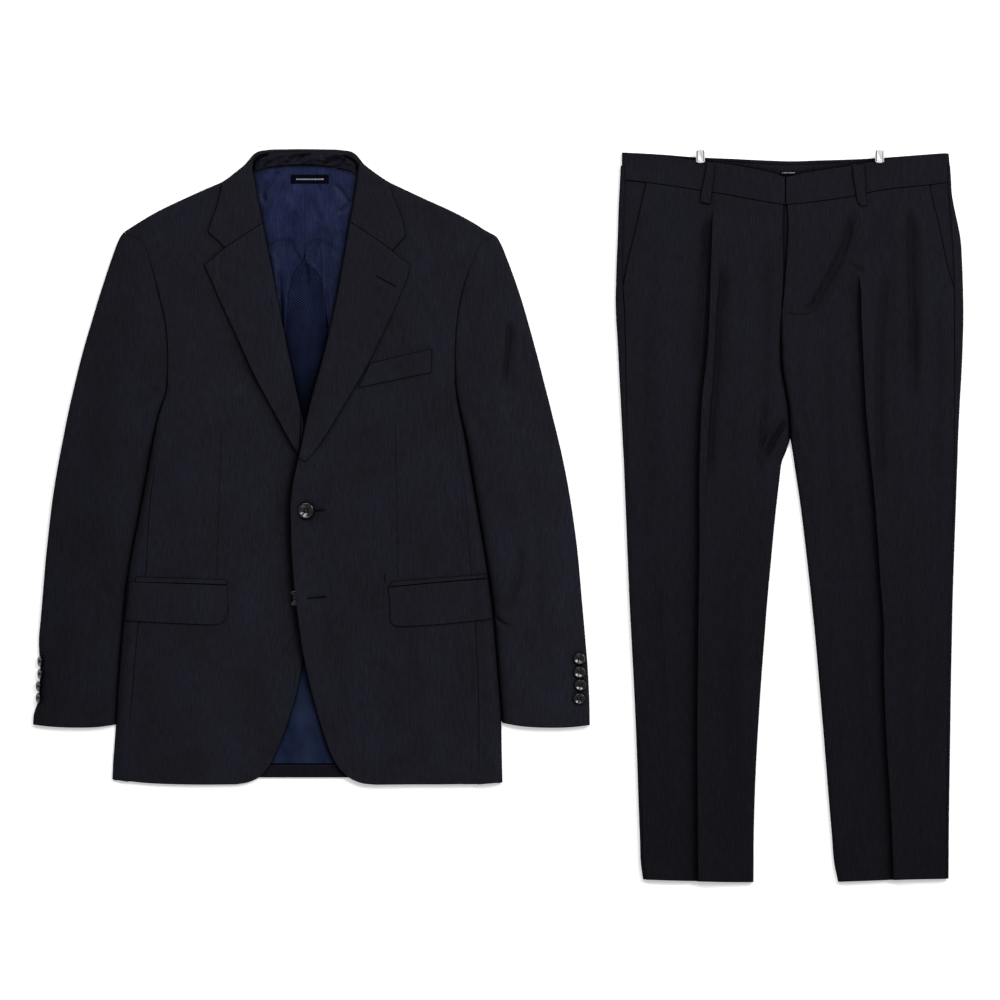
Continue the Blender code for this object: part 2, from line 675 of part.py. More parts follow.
def leaf_section(row, side):
    """The collar's outer and inner points from its roll to its edge, turned down past the shoulder."""
    top = LAPEL_TOP[side]
    start = np.array([row.roll_x, row.roll_y])
    end = np.array([row.edge_x, row.edge_y])
    run = math.dist(start, end)
    across = (end - start) / run
    level = np.linspace(0.0, run, len(LEAF_HEIGHTS))
    turned = np.array([0.0, run / 2, run - LEAF_ROUND, run, run])
    heights = top * np.array(LEAF_HEIGHTS)
    under_heights = np.maximum(heights - CLOTH, 0.0)
    under_heights[:3] = top - CLOTH
    outer, inner = [], []
    for x, down_x, z, under_z in zip(level, turned, heights, under_heights):
        out_x = x + (down_x - x) * row.turned
        in_x = x + (min(down_x, run - CLOTH) - x) * row.turned
        out_z = top + (z - top) * row.turned
        in_z = top - CLOTH + (under_z - top + CLOTH) * row.turned
        outer.append((*(start + across * out_x), out_z))
        inner.append((*(start + across * in_x), in_z))
    return outer, inner


def build_collar():
    """The collar's leaf: over both shoulders, and folded down behind the neck, where it meets the back."""
    sections = [leaf_section(row, "right") for row in LEAVES["right"]]
    for row in CRESTS[1:-1]:
        start = row.crest_y - row.stand_y - GAP
        path = [Turn(start, CREST_TOP, start, CREST_TOP - STAND_CLOTH)] + NAPE_FOLD
        over = [(row.x, row.crest_y - turn.x, turn.z) for turn in path]
        beneath = [(row.x, row.crest_y - turn.under_x, turn.under_z) for turn in path]
        sections.append((over, beneath))
    sections += [leaf_section(row, "left") for row in reversed(LEAVES["left"])]
    outer, inner = zip(*sections)
    wall("collar", outer, inner, "suiting", JACKET_AT)


def build_collar_stand():
    """The inside of the stand, from the lining's edge up to the collar's crest."""
    steps = 3
    plan = [along([(row.x, row.seam_y), (row.x, row.stand_y)], [steps]) for row in CRESTS]
    heights = np.linspace(STAND_FOOT, CREST_TOP, steps + 1)
    level_wall("collar_stand", plan, heights, STAND_CLOTH, "suiting", JACKET_AT)


def build_back(side):
    """Half of the back, flat on the floor."""
    sign = SIGN[side]
    plan = []
    for row in BACKS[side]:
        if row.outer_y > SIDE_PANELS[side][0].y:
            outer_x = from_table(SLEEVES[side], row.outer_y, "inner") - GAP
        else:
            outer_x = from_table(SIDE_PANELS[side], row.outer_y, "edge") - BACK_SEAM - GAP
        path = [
            (sign * outer_x, row.outer_y),
            (sign * row.neck_x, row.neck_y),
            (sign * GAP / 2, row.centre_y),
        ]
        plan.append(along(path, [2, 2]))
    level_wall(f"back_{side}", plan, BACK_TOP, BACK_CLOTH, "suiting", JACKET_AT)


def build_linings():
    """The back's lining: yoke, two satin side pieces, the patterned centre, and the turned-up hem."""
    top_line = [(-LINING_REACH, 740), (-69, 782)]
    top_line += [(row.x, row.seam_y - GAP) for row in CRESTS[1:-1]]
    top_x, top_y = zip(*top_line, (66, 780), (LINING_REACH, 740))
    yoke = [[(x, np.interp(x, top_x, top_y)) for x, y in YOKE_SEAM], YOKE_SEAM]
    level_wall("lining_yoke", yoke, LINING_TOP, LINING, "satin", JACKET_AT)
    for side, sign in SIGN.items():
        seam = [point for point in YOKE_SEAM if sign * (point[0] - APEX[0]) > 0]
        seam.sort(key=lambda point: sign * point[0])
        first = [(APEX[0] + sign * BESIDE_APEX[0], APEX[1] - BESIDE_APEX[1])]
        first += [(x, y - GAP) for x, y in seam]
        xs = np.array([x for x, y in first])
        shares = (xs - xs[0]) / (xs[-1] - xs[0])
        plan = [first]
        for row in ARCH[1:]:
            near = getattr(row, f"{side}_x")
            plan.append([(near + (sign * LINING_REACH - near) * share, row.y) for share in shares])
        level_wall(f"lining_side_{side}", plan, LINING_TOP, LINING, "satin", JACKET_AT)
    centre = [along([(row.right_x + GAP, row.y), (row.left_x - GAP, row.y)], [4]) for row in ARCH]
    centre += [along([(-row.half, row.y), (row.half, row.y)], [4]) for row in LINING_SKIRT]
    level_wall("lining_centre", centre, LINING_TOP, LINING, "patterned_lining", JACKET_AT)
    hem = [along([(-row.half, row.y), (row.half, row.y)], [4]) for row in HEM_FACING]
    level_wall("hem_facing", hem, LINING_TOP, LINING, "suiting", JACKET_AT)


def quad(corners, steps_along, steps_across):
    """A lattice over four corners given in order round it."""
    a, b, c, d = (np.array(corner, float) for corner in corners)
    upper, lower = along([a, b], [steps_along]), along([d, c], [steps_along])
    return [along([start, end], [steps_across]) for start, end in zip(upper, lower)]


def flap_plan(corners):
    """Pairs of upper and lower points from a flap's rounded front corner to its rear edge."""
    upper_front, upper_rear, lower_rear, lower_front = (np.array(corner) for corner in corners)
    to_rear = (lower_rear - lower_front) / math.dist(lower_rear, lower_front)
    upward = (upper_front - lower_front) / math.dist(upper_front, lower_front)
    plan = []
    for angle in np.linspace(0, math.pi / 2, CORNER_STEPS + 1):
        inward = to_rear * FLAP_CORNER * (1 - math.cos(angle))
        short = upward * FLAP_CORNER * (1 - math.sin(angle))
        plan.append([upper_front + inward, lower_front + inward + short])
    plan.append([(upper_front + upper_rear) / 2, (lower_front + lower_rear) / 2])
    plan.append([upper_rear, lower_rear])
    return plan


def build_pockets():
    """The breast welt, and a jet and a flap with a rounded front corner at each hip."""
    tops = {side: top + GAP + TRIM for side, top in FRONT_TOP.items()}
    level_wall("breast_welt", quad(WELT, 3, 1), tops["left"], TRIM, "suiting", JACKET_AT)
    for side, top in tops.items():
        level_wall(f"pocket_jet_{side}", quad(JETS[side], 3, 1), top, TRIM, "suiting", JACKET_AT)
        level_wall(f"pocket_flap_{side}", flap_plan(FLAPS[side]), top, TRIM, "suiting", JACKET_AT)


def button(name, centre, diameter, deep, low, tilt=0.0):
    """A dished button: a turned disc with a raised rim. Tilt turns its face towards -X."""
    radius = diameter / 2
    points = [(0.0, 0.0, deep * BUTTON_SECTION[0].depth), (0.0, 0.0, deep * BUTTON_SECTION[-1].depth)]
    rings = []
    for rim in BUTTON_SECTION[1:-1]:
        rings.append(len(points))
        for turn in np.arange(BUTTON_SIDES) * 2 * math.pi / BUTTON_SIDES:
            reach = radius * rim.radius
            points.append((reach * math.cos(turn), reach * math.sin(turn), deep * rim.depth))
    faces = []
    for step in range(BUTTON_SIDES):
        after = (step + 1) % BUTTON_SIDES
        faces.append([0, rings[0] + after, rings[0] + step])
        faces.append([1, rings[-1] + step, rings[-1] + after])
        for a, b in zip(rings, rings[1:]):
            faces.append([a + step, a + after, b + after, b + step])
    c, s = math.cos(tilt), math.sin(tilt)
    placed = [(centre[0] + x * c - z * s, centre[1] + y, low + x * s + z * c) for x, y, z in points]
    return add_mesh(name, placed, faces, "button", JACKET_AT)


def build_buttons():
    """Two buttons at the front and a row of four on each cuff."""
    low = {side: top + GAP for side, top in FRONT_TOP.items()}
    button("front_button_upper", UPPER_BUTTON, FRONT_BUTTON, FRONT_BUTTON_DEEP, low["left"])
    button("front_button_lower", LOWER_BUTTON, FRONT_BUTTON, LOWER_BUTTON_DEEP, low["right"])
    reach = SLEEVE_TOP + GAP
    for number, centre in enumerate(CUFF_BUTTONS["left"], 1):
        button(f"cuff_button_left_{number}", centre, CUFF_BUTTON, CUFF_BUTTON_DEEP, reach)
    for number, y in enumerate(CUFF_BUTTONS["right"], 1):
        edge = -from_table(SLEEVES["right"], y, "outer")
        seat = (edge + FOLD - reach * math.sin(RIGHT_CUFF_TILT), y)
        low_point = reach * math.cos(RIGHT_CUFF_TILT)
        name = f"cuff_button_right_{number}"
        button(name, seat, CUFF_BUTTON, CUFF_BUTTON_DEEP, low_point, tilt=RIGHT_CUFF_TILT)


def build_labels():
    """The plain labels inside the jacket's neck and the trousers' waistband."""
    for name, box, under, at in (
        ("neck_label", LABEL, LINING_TOP, JACKET_AT),
        ("waistband_label", TROUSER_LABEL, BAND_WALL, TROUSERS_AT),
    ):
        low_x, low_y, high_x, high_y = box
        plan = [[(x, y) for x in (low_x, high_x)] for y in (high_y, low_y)]
        level_wall(name, plan, under + GAP + LABEL_CLOTH, LABEL_CLOTH, "label", at)


def mouth_x(side, y):
    """How far from the centre line the slant pocket's mouth lies at a height on the leg."""
    mouth = MOUTHS[side]
    return float(np.interp(-y, [-mouth.top_y, -mouth.low_y], [mouth.top_x, mouth.low_x]))


def leg_y(row, x):
    """The height of a leg's row at a distance from the centre line."""
    share = (x - row.inner) / (row.outer - row.inner)
    return row.inner_y + (row.outer_y - row.inner_y) * share


def side_seam(row):
    """How far from the centre line a leg's back ends at the side seam."""
    return row.outer - row.back_shows - GAP


def build_front_leg(side):
    """The front of a leg, with its pressed crease, from the inner edge to the side seam or pocket mouth."""
    sign = SIGN[side]
    outer, inner = [], []
    for number, row in enumerate(LEGS[side]):
        seam = side_seam(row)
        if row.outer_y > MOUTHS[side].low_y:
            seam = min(seam, mouth_x(side, row.outer_y))
        folded = number >= CROTCH_ROW
        edge = row.inner if folded else row.inner + GAP / 2
        turns = INNER_FOLD if folded else FLY_EDGE
        section = [Turn(edge + turn.x, turn.z, edge + turn.under_x, turn.under_z) for turn in turns]
        past_crease = row.crease + CREASE_HALF
        rise = CREASE * min(1.0, number / CREASE_ROWS)
        ridge = [(row.crease - CREASE_HALF, 0.0), (row.crease, rise), (past_crease, 0.0)]
        ridge += [((past_crease + seam) / 2, 0.0), (seam, 0.0)]
        section += [Turn(x, LEG_TOP + height, x, UNDER_LEG) for x, height in ridge]
        outer.append([(sign * turn.x, leg_y(row, turn.x), turn.z) for turn in section])
        inner.append([(sign * turn.under_x, leg_y(row, turn.x), turn.under_z) for turn in section])
    wall(f"leg_front_{side}", outer, inner, "suiting", TROUSERS_AT)


def build_back_leg(side):
    """The back of a leg: on the floor, round the outer fold and up to the side seam."""
    sign = SIGN[side]
    half = LEG_TOP / 2
    profiles = fold_profile(LEG_TOP, BACK_CLOTH, BACK_SEAM)
    outer, inner = [], []
    for number, row in enumerate(LEGS[side]):
        end = row.inner + (CLOTH + RIM if number >= CROTCH_ROW else GAP / 2)
        narrowed = row.back_shows / FOLD
        for section, lattice in zip(profiles, (outer, inner)):
            floor = section[-1][1]
            path = []
            for inward, z in section[:-1]:
                path.append((row.outer - (min(inward, FOLD) * narrowed if z > half else inward), z))
            path += [((row.outer - FOLD + end) / 2, floor), (end, floor)]
            limits = [leg_y(row, x) if z > half else BAND_BACK_SEAM - GAP for x, z in path]
            heights = [min(leg_y(row, x), limit) for (x, z), limit in zip(path, limits)]
            lattice.append([(sign * x, y, z) for (x, z), y in zip(path, heights)])
    wall(f"leg_back_{side}", outer, inner, "suiting", TROUSERS_AT)


def build_bearer(side):
    """The pocket bearer: the sunk triangle between the slant pocket's mouth and the side seam."""
    plan = []
    for row in LEGS[side][:BEARER_ROWS]:
        ends = (mouth_x(side, row.outer_y) + GAP, side_seam(row))
        plan.append([(SIGN[side] * x, leg_y(row, x)) for x in ends])
    level_wall(f"pocket_bearer_{side}", plan, LEG_TOP - BEARER_DROP, CLOTH, "suiting", TROUSERS_AT)


def build_waistband():
    """The waistband's two front halves over its back, whose inside shows above them."""
    for side, sign in SIGN.items():
        first, *others = WAISTBANDS[side]
        stations = [(first._replace(x=first.x - inward), height) for inward, height in BAND_EDGE]
        stations += [(row, LEG_TOP) for row in others]
        outer, inner = [], []
        for row, height in stations:
            line = along([(sign * row.x, row.top), (sign * row.x, row.seam + GAP)], [2])
            outer.append([(*point, height) for point in line])
            inner.append([(*point, max(height - BAND_WALL, BAND_WALL + GAP)) for point in line])
        wall(f"waistband_front_{side}", outer, inner, "suiting", TROUSERS_AT)
    plan = [along([(row.x, row.top), (row.x, BAND_BACK_SEAM)], [2]) for row in WAISTBAND_BACK]
    level_wall("waistband_back", plan, BAND_WALL, BAND_WALL, "suiting", TROUSERS_AT)


def build_belt_loops():
    """The two belt loops on the front of the waistband."""
    for side, path in BELT_LOOPS.items():
        plan = [[(x - BELT_LOOP / 2, y), (x + BELT_LOOP / 2, y)] for x, y in path]
        level_wall(f"belt_loop_{side}", plan, LOOP_TOP, LOOP_CLOTH, "suiting", TROUSERS_AT)


def build_clips():
    """The plain steel grips: a leaf on the waistband, bent down behind its upper edge to the floor."""
    width, length = CLIP
    rise, bend = CLIP_BEND
    low, top = LEG_TOP + GAP, LEG_TOP + GAP + 2 * CLIP_WALL
    for side, (x, y) in CLIPS.items():
        foot, high = y - length / 2, y + length / 2
        over = [(foot, top - CLIP_WALL), (high - rise, top), (high - bend, top)]
        over += [(high, top - bend), (high, 0.0)]
        behind = high - CLIP_WALL
        beneath = [(foot, low), (high - rise, top - CLIP_WALL), (high - bend, top - CLIP_WALL)]
        beneath += [(behind, top - CLIP_WALL - bend / 3), (behind, 0.0)]
        sides = (x - width / 2, x + width / 2)
        outer = [[(across, *point) for point in over] for across in sides]
        inner = [[(across, *point) for point in beneath] for across in sides]
        wall(f"hanger_clip_{side}", outer, inner, "steel", TROUSERS_AT)


def build_suit():
    """Every piece of the jacket, then of the trousers."""
    clear_scene()
    for side in ("right", "left"):
        build_back(side)
        build_side_panel(side)
        build_front(side)
        build_lapel(side)
        build_sleeve(side)
    build_collar()
    build_collar_stand()
    build_linings()
    build_pockets()
    build_buttons()
    build_labels()
    for side in ("right", "left"):
        build_back_leg(side)
        build_front_leg(side)
        build_bearer(side)
    build_waistband()
    build_belt_loops()
    build_clips()


build_suit()
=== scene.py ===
"""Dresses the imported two-piece suit: cloth, seams, folds, stitching, buttons, light and camera.

Plans are drawn in units of 1.3 mm seen from above, x to the right and y down from the collar. Heights and
widths are millimetres. Left and right in names are the wearer's, so the left pieces lie at larger x.
"""

import math
from collections import namedtuple

import bpy
import numpy as np
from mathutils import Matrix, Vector
from mathutils.geometry import delaunay_2d_cdt


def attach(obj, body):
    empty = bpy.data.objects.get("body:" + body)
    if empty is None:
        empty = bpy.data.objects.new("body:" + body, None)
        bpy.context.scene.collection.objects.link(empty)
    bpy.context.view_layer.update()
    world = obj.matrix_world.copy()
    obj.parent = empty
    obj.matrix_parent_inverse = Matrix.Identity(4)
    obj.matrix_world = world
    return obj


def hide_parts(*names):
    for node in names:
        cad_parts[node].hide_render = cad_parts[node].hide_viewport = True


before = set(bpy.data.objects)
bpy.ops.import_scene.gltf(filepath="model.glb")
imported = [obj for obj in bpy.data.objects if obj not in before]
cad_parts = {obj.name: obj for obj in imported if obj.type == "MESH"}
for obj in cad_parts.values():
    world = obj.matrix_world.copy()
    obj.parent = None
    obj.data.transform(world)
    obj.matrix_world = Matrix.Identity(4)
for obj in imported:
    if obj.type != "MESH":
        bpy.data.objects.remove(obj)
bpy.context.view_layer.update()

SIDES = ("right", "left")
UNIT = 1.3  # millimetres in a plan unit
ORIGIN = (-647.5, 670.45)  # where the plan's origin lies, in millimetres
CENTRE = 304  # the jacket's centre back on the plan
MM = 0.001
GAP = 0.3  # between cloths that are sewn side by side
FLOOR = 0.03  # lowest height of the cloth above the floor

# Upper faces of the layers, as in the solids.
BACK_LIES = 1.3  # the back is pressed thin under the folds of its lining
LINING_TOP = 3.7
FRONT_TOP = {"right": 6.0, "left": 8.3}
LAPEL_TOP = {"right": 8.3, "left": 10.6}
POCKET_TOP = {"right": 7.5, "left": 9.8}
SLEEVE_TOP = 8.0
CREST_TOP = 10.5
STAND_FOOT = 5.6
LEG_TOP = 8.0
CLOTH = 1.8  # thickness of suiting
TRIM = 1.2  # thickness of the small pieces of suiting
SILK = 1.1  # thickness of lining
UNEVEN = 0.5  # slow unevenness of suiting that lies flat
# Thickness of a small piece, how far apart its points are inside and along its outline, and its unevenness.
FLAP_CLOTH = {"thick": TRIM, "pitch": 3.2, "step": 2.0, "rolling": UNEVEN}
LINING_CLOTH = {"thick": SILK, "pitch": 2.4, "step": 2.0}
LABEL_CLOTH = {"thick": 0.6, "pitch": 2.0, "step": 1.5}
BAR_CLOTH = {"thick": 0.12, "pitch": 1.5, "step": 1.0}
FOLD = 8.0  # how far in the cloth bends at a folded edge
ROUND = 16.0  # how far in the body's cloth rounds up from its fold

# One stretch of a piece's outline. The cloth falls by depth within width of it, and where it is folded it
# goes on under itself for curl. Depth is a number or a function of points.
Edge = namedtuple("Edge", "width depth path curl", defaults=[0])
# A ridge, or a trough where height is negative: half widths on the left and right of its path, how far its
# ends take to rise, and its form: round for a power of 2, pressed to an edge for 1.
Fold = namedtuple("Fold", "height near far rise fall path power", defaults=[2])


def plan(points):
    """Plan units to millimetres in the shared frame."""
    points = np.asarray(points, float).reshape(-1, 2)
    return np.column_stack([ORIGIN[0] + UNIT * points[:, 0], ORIGIN[1] - UNIT * points[:, 1]])


def spline(points, step):
    """A smooth curve through points, sampled about every step."""
    p = np.asarray(points, float)
    if len(p) == 2:
        count = max(1, round(math.dist(p[0], p[1]) / step))
        return p[0] + (p[1] - p[0]) * np.linspace(0, 1, count + 1)[:, None]
    p = np.vstack([2 * p[0] - p[1], p, 2 * p[-1] - p[-2]])
    runs = np.linalg.norm(np.diff(p, axis=0), axis=1)
    slopes = np.diff(p, axis=0) / runs[:, None]
    turns = (slopes[:-1] * runs[1:, None] + slopes[1:] * runs[:-1, None]) / (runs[1:] + runs[:-1])[:, None]
    out = []
    for i, run in enumerate(runs[1:-1]):
        a, b, m, n = p[i + 1], p[i + 2], turns[i] * run, turns[i + 1] * run
        t = np.linspace(0, 1, max(1, round(run / step)), endpoint=False)[:, None]
        out.append(
            a * (
                2 * t**3 - 3 * t**2 + 1
            ) + m * (t**3 - 2 * t**2 + t) + b * (3 * t**2 - 2 * t**3) + n * (t**3 - t**2)
        )
    return np.vstack(out + [p[-2:-1]])


def nearest(points, path):
    """Distance to a path, its sign (positive on the path's left), and how far along the path it is."""
    a, b = path[:-1], path[1:]
    run = b - a
    square = np.maximum((run**2).sum(1), 1e-12)
    starts = np.concatenate([[0.0], np.cumsum(np.sqrt(square))[:-1]])
    found, along, side = (np.empty(len(points)) for _ in range(3))
    for low in range(0, len(points), 4000):
        p = points[low : low + 4000, None] - a[None]
        t = np.clip((p * run).sum(2) / square, 0, 1)
        apart = ((p - t[..., None] * run) ** 2).sum(2)
        k = apart.argmin(1)
        rows = np.arange(len(k))
        found[low : low + 4000] = np.sqrt(apart[rows, k])
        along[low : low + 4000] = starts[k] + t[rows, k] * np.sqrt(square[k])
        side[low : low + 4000] = np.sign(run[k, 0] * p[rows, k, 1] - run[k, 1] * p[rows, k, 0])
    return found, side, along


def inside(points, loop):
    """Which points lie inside a closed outline."""
    a, b = loop, np.roll(loop, -1, axis=0)
    found = np.zeros(len(points), bool)
    for low in range(0, len(points), 4000):
        x, y = points[low : low + 4000, 0, None], points[low : low + 4000, 1, None]
        crosses = (a[:, 1] > y) != (b[:, 1] > y)
        with np.errstate(divide="ignore", invalid="ignore"):
            at = a[:, 0] + (y - a[:, 1]) * (b[:, 0] - a[:, 0]) / (b[:, 1] - a[:, 1])
        found[low : low + 4000] = ((crosses & (x < at)).sum(1) % 2).astype(bool)
    return found


def step_up(value, low, high):
    """0 below low, 1 above high, and smooth between."""
    t = np.clip((value - low) / (high - low), 0, 1)
    return t * t * (3 - 2 * t)


def rows_at(*rows):
    """Where rows of the plan lie along the frame's Y axis, in millimetres."""
    return plan([(0, row) for row in rows])[:, 1]


def rising(points, low, high):
    """0 below the plan's row low, 1 above its row high, and smooth between."""
    return step_up(points[:, 1], *rows_at(low, high))


def length_of(path):
    return np.linalg.norm(np.diff(path, axis=0), axis=1).sum()


def flipped(path):
    return list(reversed(path))


def fold_relief(points, folds):
    """Height of a table of folds at each point."""
    height = np.zeros(len(points))
    for fold in folds:
        path = spline(plan(fold.path), 4.0)
        reach = 3 * max(fold.near, fold.far)
        low, high = path.min(0) - reach, path.max(0) + reach
        close = ((points > low) & (points < high)).all(1)
        if not close.any():
            continue
        apart, side, along = nearest(points[close], path)
        length = length_of(path)
        widths = np.where(side > 0, fold.near, fold.far)
        taper = np.ones(len(apart))
        if fold.rise:
            taper *= step_up(along, 0, fold.rise)
        if fold.fall:
            taper *= step_up(length - along, 0, fold.fall)
        height[close] += fold.height * taper * np.exp(-((apart / widths) ** fold.power))
    return height


def keep_cut(spots):
    """Takes the outline that a cloth is cut from and does nothing more with it."""
    spots = np.asarray(spots, float)


WAVES = np.random.default_rng(11)
WAVE_TABLE = [
    (
        WAVES.uniform(0.012, 0.035), WAVES.uniform(0.004, 0.014), WAVES.uniform(0, 6.28),
        WAVES.choice([-1, 1]),
    )
    for _ in range(9)
]


def waves(points, size):
    """Slow unevenness of cloth that lies flat, longer down the garment than across it."""
    x, y = points.T
    return size / 3 * sum(np.sin(kx * x + sign * ky * y + phase) for kx, ky, phase, sign in WAVE_TABLE)


# ------------------------------------------------------------------------------------------- mesh building


def shell(name, points, faces, thick):
    """A closed thin cloth from an open surface, turned up, by offsetting it down its normals."""
    points, faces = np.asarray(points, float), np.asarray(faces)
    a, b, c = (points[faces[:, k]] for k in range(3))
    flat = np.cross(b - a, c - a)
    normals = np.zeros_like(points)
    for k in range(3):
        np.add.at(normals, faces[:, k], flat)
    normals /= np.maximum(np.linalg.norm(normals, axis=1), 1e-9)[:, None]
    under = points - normals * thick
    under[:, 2] = np.maximum(under[:, 2], FLOOR)
    points[:, 2] = np.maximum(points[:, 2], FLOOR + 0.02)
    count = len(points)
    ends = np.concatenate([faces[:, [0, 1]], faces[:, [1, 2]], faces[:, [2, 0]]])
    keys = ends[:, 0] * count + ends[:, 1]
    open_ends = ends[~np.isin(keys, ends[:, 1] * count + ends[:, 0])]
    i, j = open_ends.T
    rim = np.concatenate([np.column_stack([j, i, i + count]), np.column_stack([j, i + count, j + count])])
    everything = np.concatenate([faces, faces[:, ::-1] + count, rim])
    return mesh_object(name, np.concatenate([points, under]), everything)


def mesh_object(name, points, faces, sharp=50):
    """An object from points in millimetres."""
    mesh = bpy.data.meshes.new(name)
    mesh.from_pydata(
        (np.asarray(points) * MM).tolist(), [], [tuple(int(k) for k in face) for face in faces],
    )
    mesh.validate()
    mesh.shade_smooth()
    mesh.set_sharp_from_angle(angle=math.radians(sharp))
    made = bpy.data.objects.new(name, mesh)
    bpy.context.scene.collection.objects.link(made)
    return made


RIM_TURNS = np.radians([22, 42, 58, 73, 90])  # rows of points where cloth turns down at its edge
NARROW_RIM = 1.6  # a rim this narrow has three of these rows
ROW_REACH = 5.0  # half width of the rows of points laid along a narrow fold
ROW_SHARES = (-2.0, -1.3, -0.75, -0.35, 0.0, 0.35, 0.75, 1.3, 2.0)
SPACING = 0.12  # points closer than this count as one
CURL_TURNS = np.radians([25, 50, 75, 90])


def outline_of(edges, step):
    """The closed outline of a piece and, for each of its points, the edge that starts there."""
    points, owner = [], []
    for number, edge in enumerate(edges):
        path = spline(plan(edge.path), step)[:-1]
        points.append(path)
        owner += [number] * len(path)
    return np.vstack(points), np.array(owner)


def inward_of(loop):
    """Unit vectors into a closed outline, lengthened at its corners."""
    before, after = np.roll(loop, 1, axis=0), np.roll(loop, -1, axis=0)
    one, two = loop - before, after - loop
    one, two = one / np.linalg.norm(one, axis=1)[:, None], two / np.linalg.norm(two, axis=1)[:, None]
    x, y = loop.T
    turn = 1 if (x * np.roll(y, -1) - np.roll(x, -1) * y).sum() > 0 else -1
    first, second = np.column_stack([-one[:, 1], one[:, 0]]), np.column_stack([-two[:, 1], two[:, 0]])
    middle = first + second
    size = np.linalg.norm(middle, axis=1)[:, None]
    middle = middle / np.maximum(size, 1e-6)
    return turn * middle * np.minimum(2 / np.maximum(size, 1e-6), 1.6)


def rim_rows(loop, owner, inward, edges):
    """Rows of points along the edges, where the cloth turns down."""
    rows = []
    for number, edge in enumerate(edges):
        on = owner == number
        turns = RIM_TURNS if edge.width > NARROW_RIM else RIM_TURNS[[1, 3, 4]]
        rows += [loop[on] + inward[on] * edge.width * (1 - math.cos(turn)) for turn in turns]
    return rows


def grid_over(loop, pitch):
    """A triangular grid of points over an outline's box."""
    low, high = loop.min(0), loop.max(0)
    xs, ys = np.meshgrid(np.arange(low[0], high[0], pitch), np.arange(low[1], high[1], pitch * 0.87))
    xs = xs + (np.arange(len(xs)) % 2)[:, None] * pitch / 2
    return np.column_stack([xs.ravel(), ys.ravel()])


def fold_rows(folds, pitch, grid):
    """Rows of points along the folds that a grid is too coarse for, and the grid without its points there."""
    rows = []
    for fold in folds:
        if min(fold.near, fold.far) > pitch and fold.power == 2:
            continue
        path = spline(plan(fold.path), 2.5)
        run = np.gradient(path, axis=0)
        across = np.column_stack([-run[:, 1], run[:, 0]]) / np.linalg.norm(run, axis=1)[:, None]
        for share in ROW_SHARES:
            rows.append(path + across * share * min(fold.near if share > 0 else fold.far, ROW_REACH))
        apart = nearest(grid, path)[0]
        grid = grid[apart > 2 * min(max(fold.near, fold.far), ROW_REACH) + 0.5]
    return rows, grid


def triangles(points, count):
    """A flat mesh over points, of which the first count are the outline, and what became of each point."""
    flat = delaunay_2d_cdt([Vector(p) for p in points], [], [list(range(count))], 1, 1e-4)
    places = np.array([tuple(p) for p in flat[0]])
    faces = np.array(flat[2])
    a, b, c = (places[faces[:, k]] for k in range(3))
    turned = np.cross(b - a, c - a) < 0
    faces[turned] = faces[turned][:, ::-1]
    return places, faces, {old: new for new, olds in enumerate(flat[3]) for old in olds}


def outward(points, face, inward):
    """Whether a face under a folded edge is turned out, away from the piece, or down."""
    a, b, c = (points[k] for k in face)
    normal = np.cross(b - a, c - a)
    return normal[0] * -inward[0] + normal[1] * -inward[1] - normal[2] > 0


def curled(solid, faces, row, inward, edge):
    """A cloth carried on from the row of points at its folded edge, round and under itself."""
    start = solid[row]
    bends = [(edge.width * (1 - math.cos(turn)), math.sin(turn)) for turn in CURL_TURNS]
    for reach, fall in bends + [(edge.width + edge.curl, 1.0)]:
        new = np.column_stack([start[:, :2] + inward * reach, start[:, 2] * (1 - fall) + FLOOR])
        fresh = len(solid) + np.arange(len(new))
        solid = np.vstack([solid, new])
        spans = range(len(new) - 1)
        strips = [(row[k], fresh[k], fresh[k + 1]) for k in spans]
        strips += [(row[k], fresh[k + 1], row[k + 1]) for k in spans]
        if not outward(solid, strips[0], inward[0]):
            strips = np.array(strips)[:, ::-1]
        faces = np.vstack([faces, strips])
        row = fresh
    return solid, faces


def panel(name, edges, level, folds=(), thick=CLOTH, pitch=3.6, step=2.6, rolling=0.0, inset=GAP / 2):
    """A piece of cloth lying over level, with its edges turned down, its folds and its slow unevenness."""
    loop, owner = outline_of(edges, step)
    inward = inward_of(loop)
    loop = loop + inward * inset
    stretches = [np.flatnonzero(owner == number) for number in range(len(edges))]
    stretches = [np.append(on, (on[-1] + 1) % len(loop)) for on in stretches]
    paths = [loop[on] for on in stretches]
    rows, grid = fold_rows(folds, pitch, grid_over(loop, pitch))
    extra = np.vstack(rim_rows(loop, owner, inward, edges) + rows)
    margins = np.min([nearest(extra, path)[0] for path in paths], axis=0)
    extra = extra[(margins > 0.05) & inside(extra, loop)]
    extra = extra[np.unique(np.round(extra / SPACING), axis=0, return_index=True)[1]]
    clear = [nearest(grid, path)[0] > edge.width + 0.35 * pitch for edge, path in zip(edges, paths)]
    grid = grid[np.all(clear, axis=0)]
    grid = grid[inside(grid, loop)]
    places, faces, became = triangles(np.vstack([loop, extra, grid]), len(loop))
    heights = (level(places) if callable(level) else level) + fold_relief(places, folds)
    heights = heights + waves(places, rolling)
    drop = np.zeros(len(places))
    for edge, path in zip(edges, paths):
        depth = edge.depth(places) if callable(edge.depth) else edge.depth
        t = np.clip(1 - nearest(places, path)[0] / edge.width, 0, 1)
        drop = np.maximum(drop, depth * (1 - np.sqrt(1 - t * t)))
    solid = np.column_stack([places, heights - drop])
    for edge, on, path in zip(edges, stretches, paths):
        if edge.curl:
            solid, faces = curled(solid, faces, np.array([became[k] for k in on]), inward[on], edge)
    keep_cut(loop)
    return shell(name, solid, faces, thick)


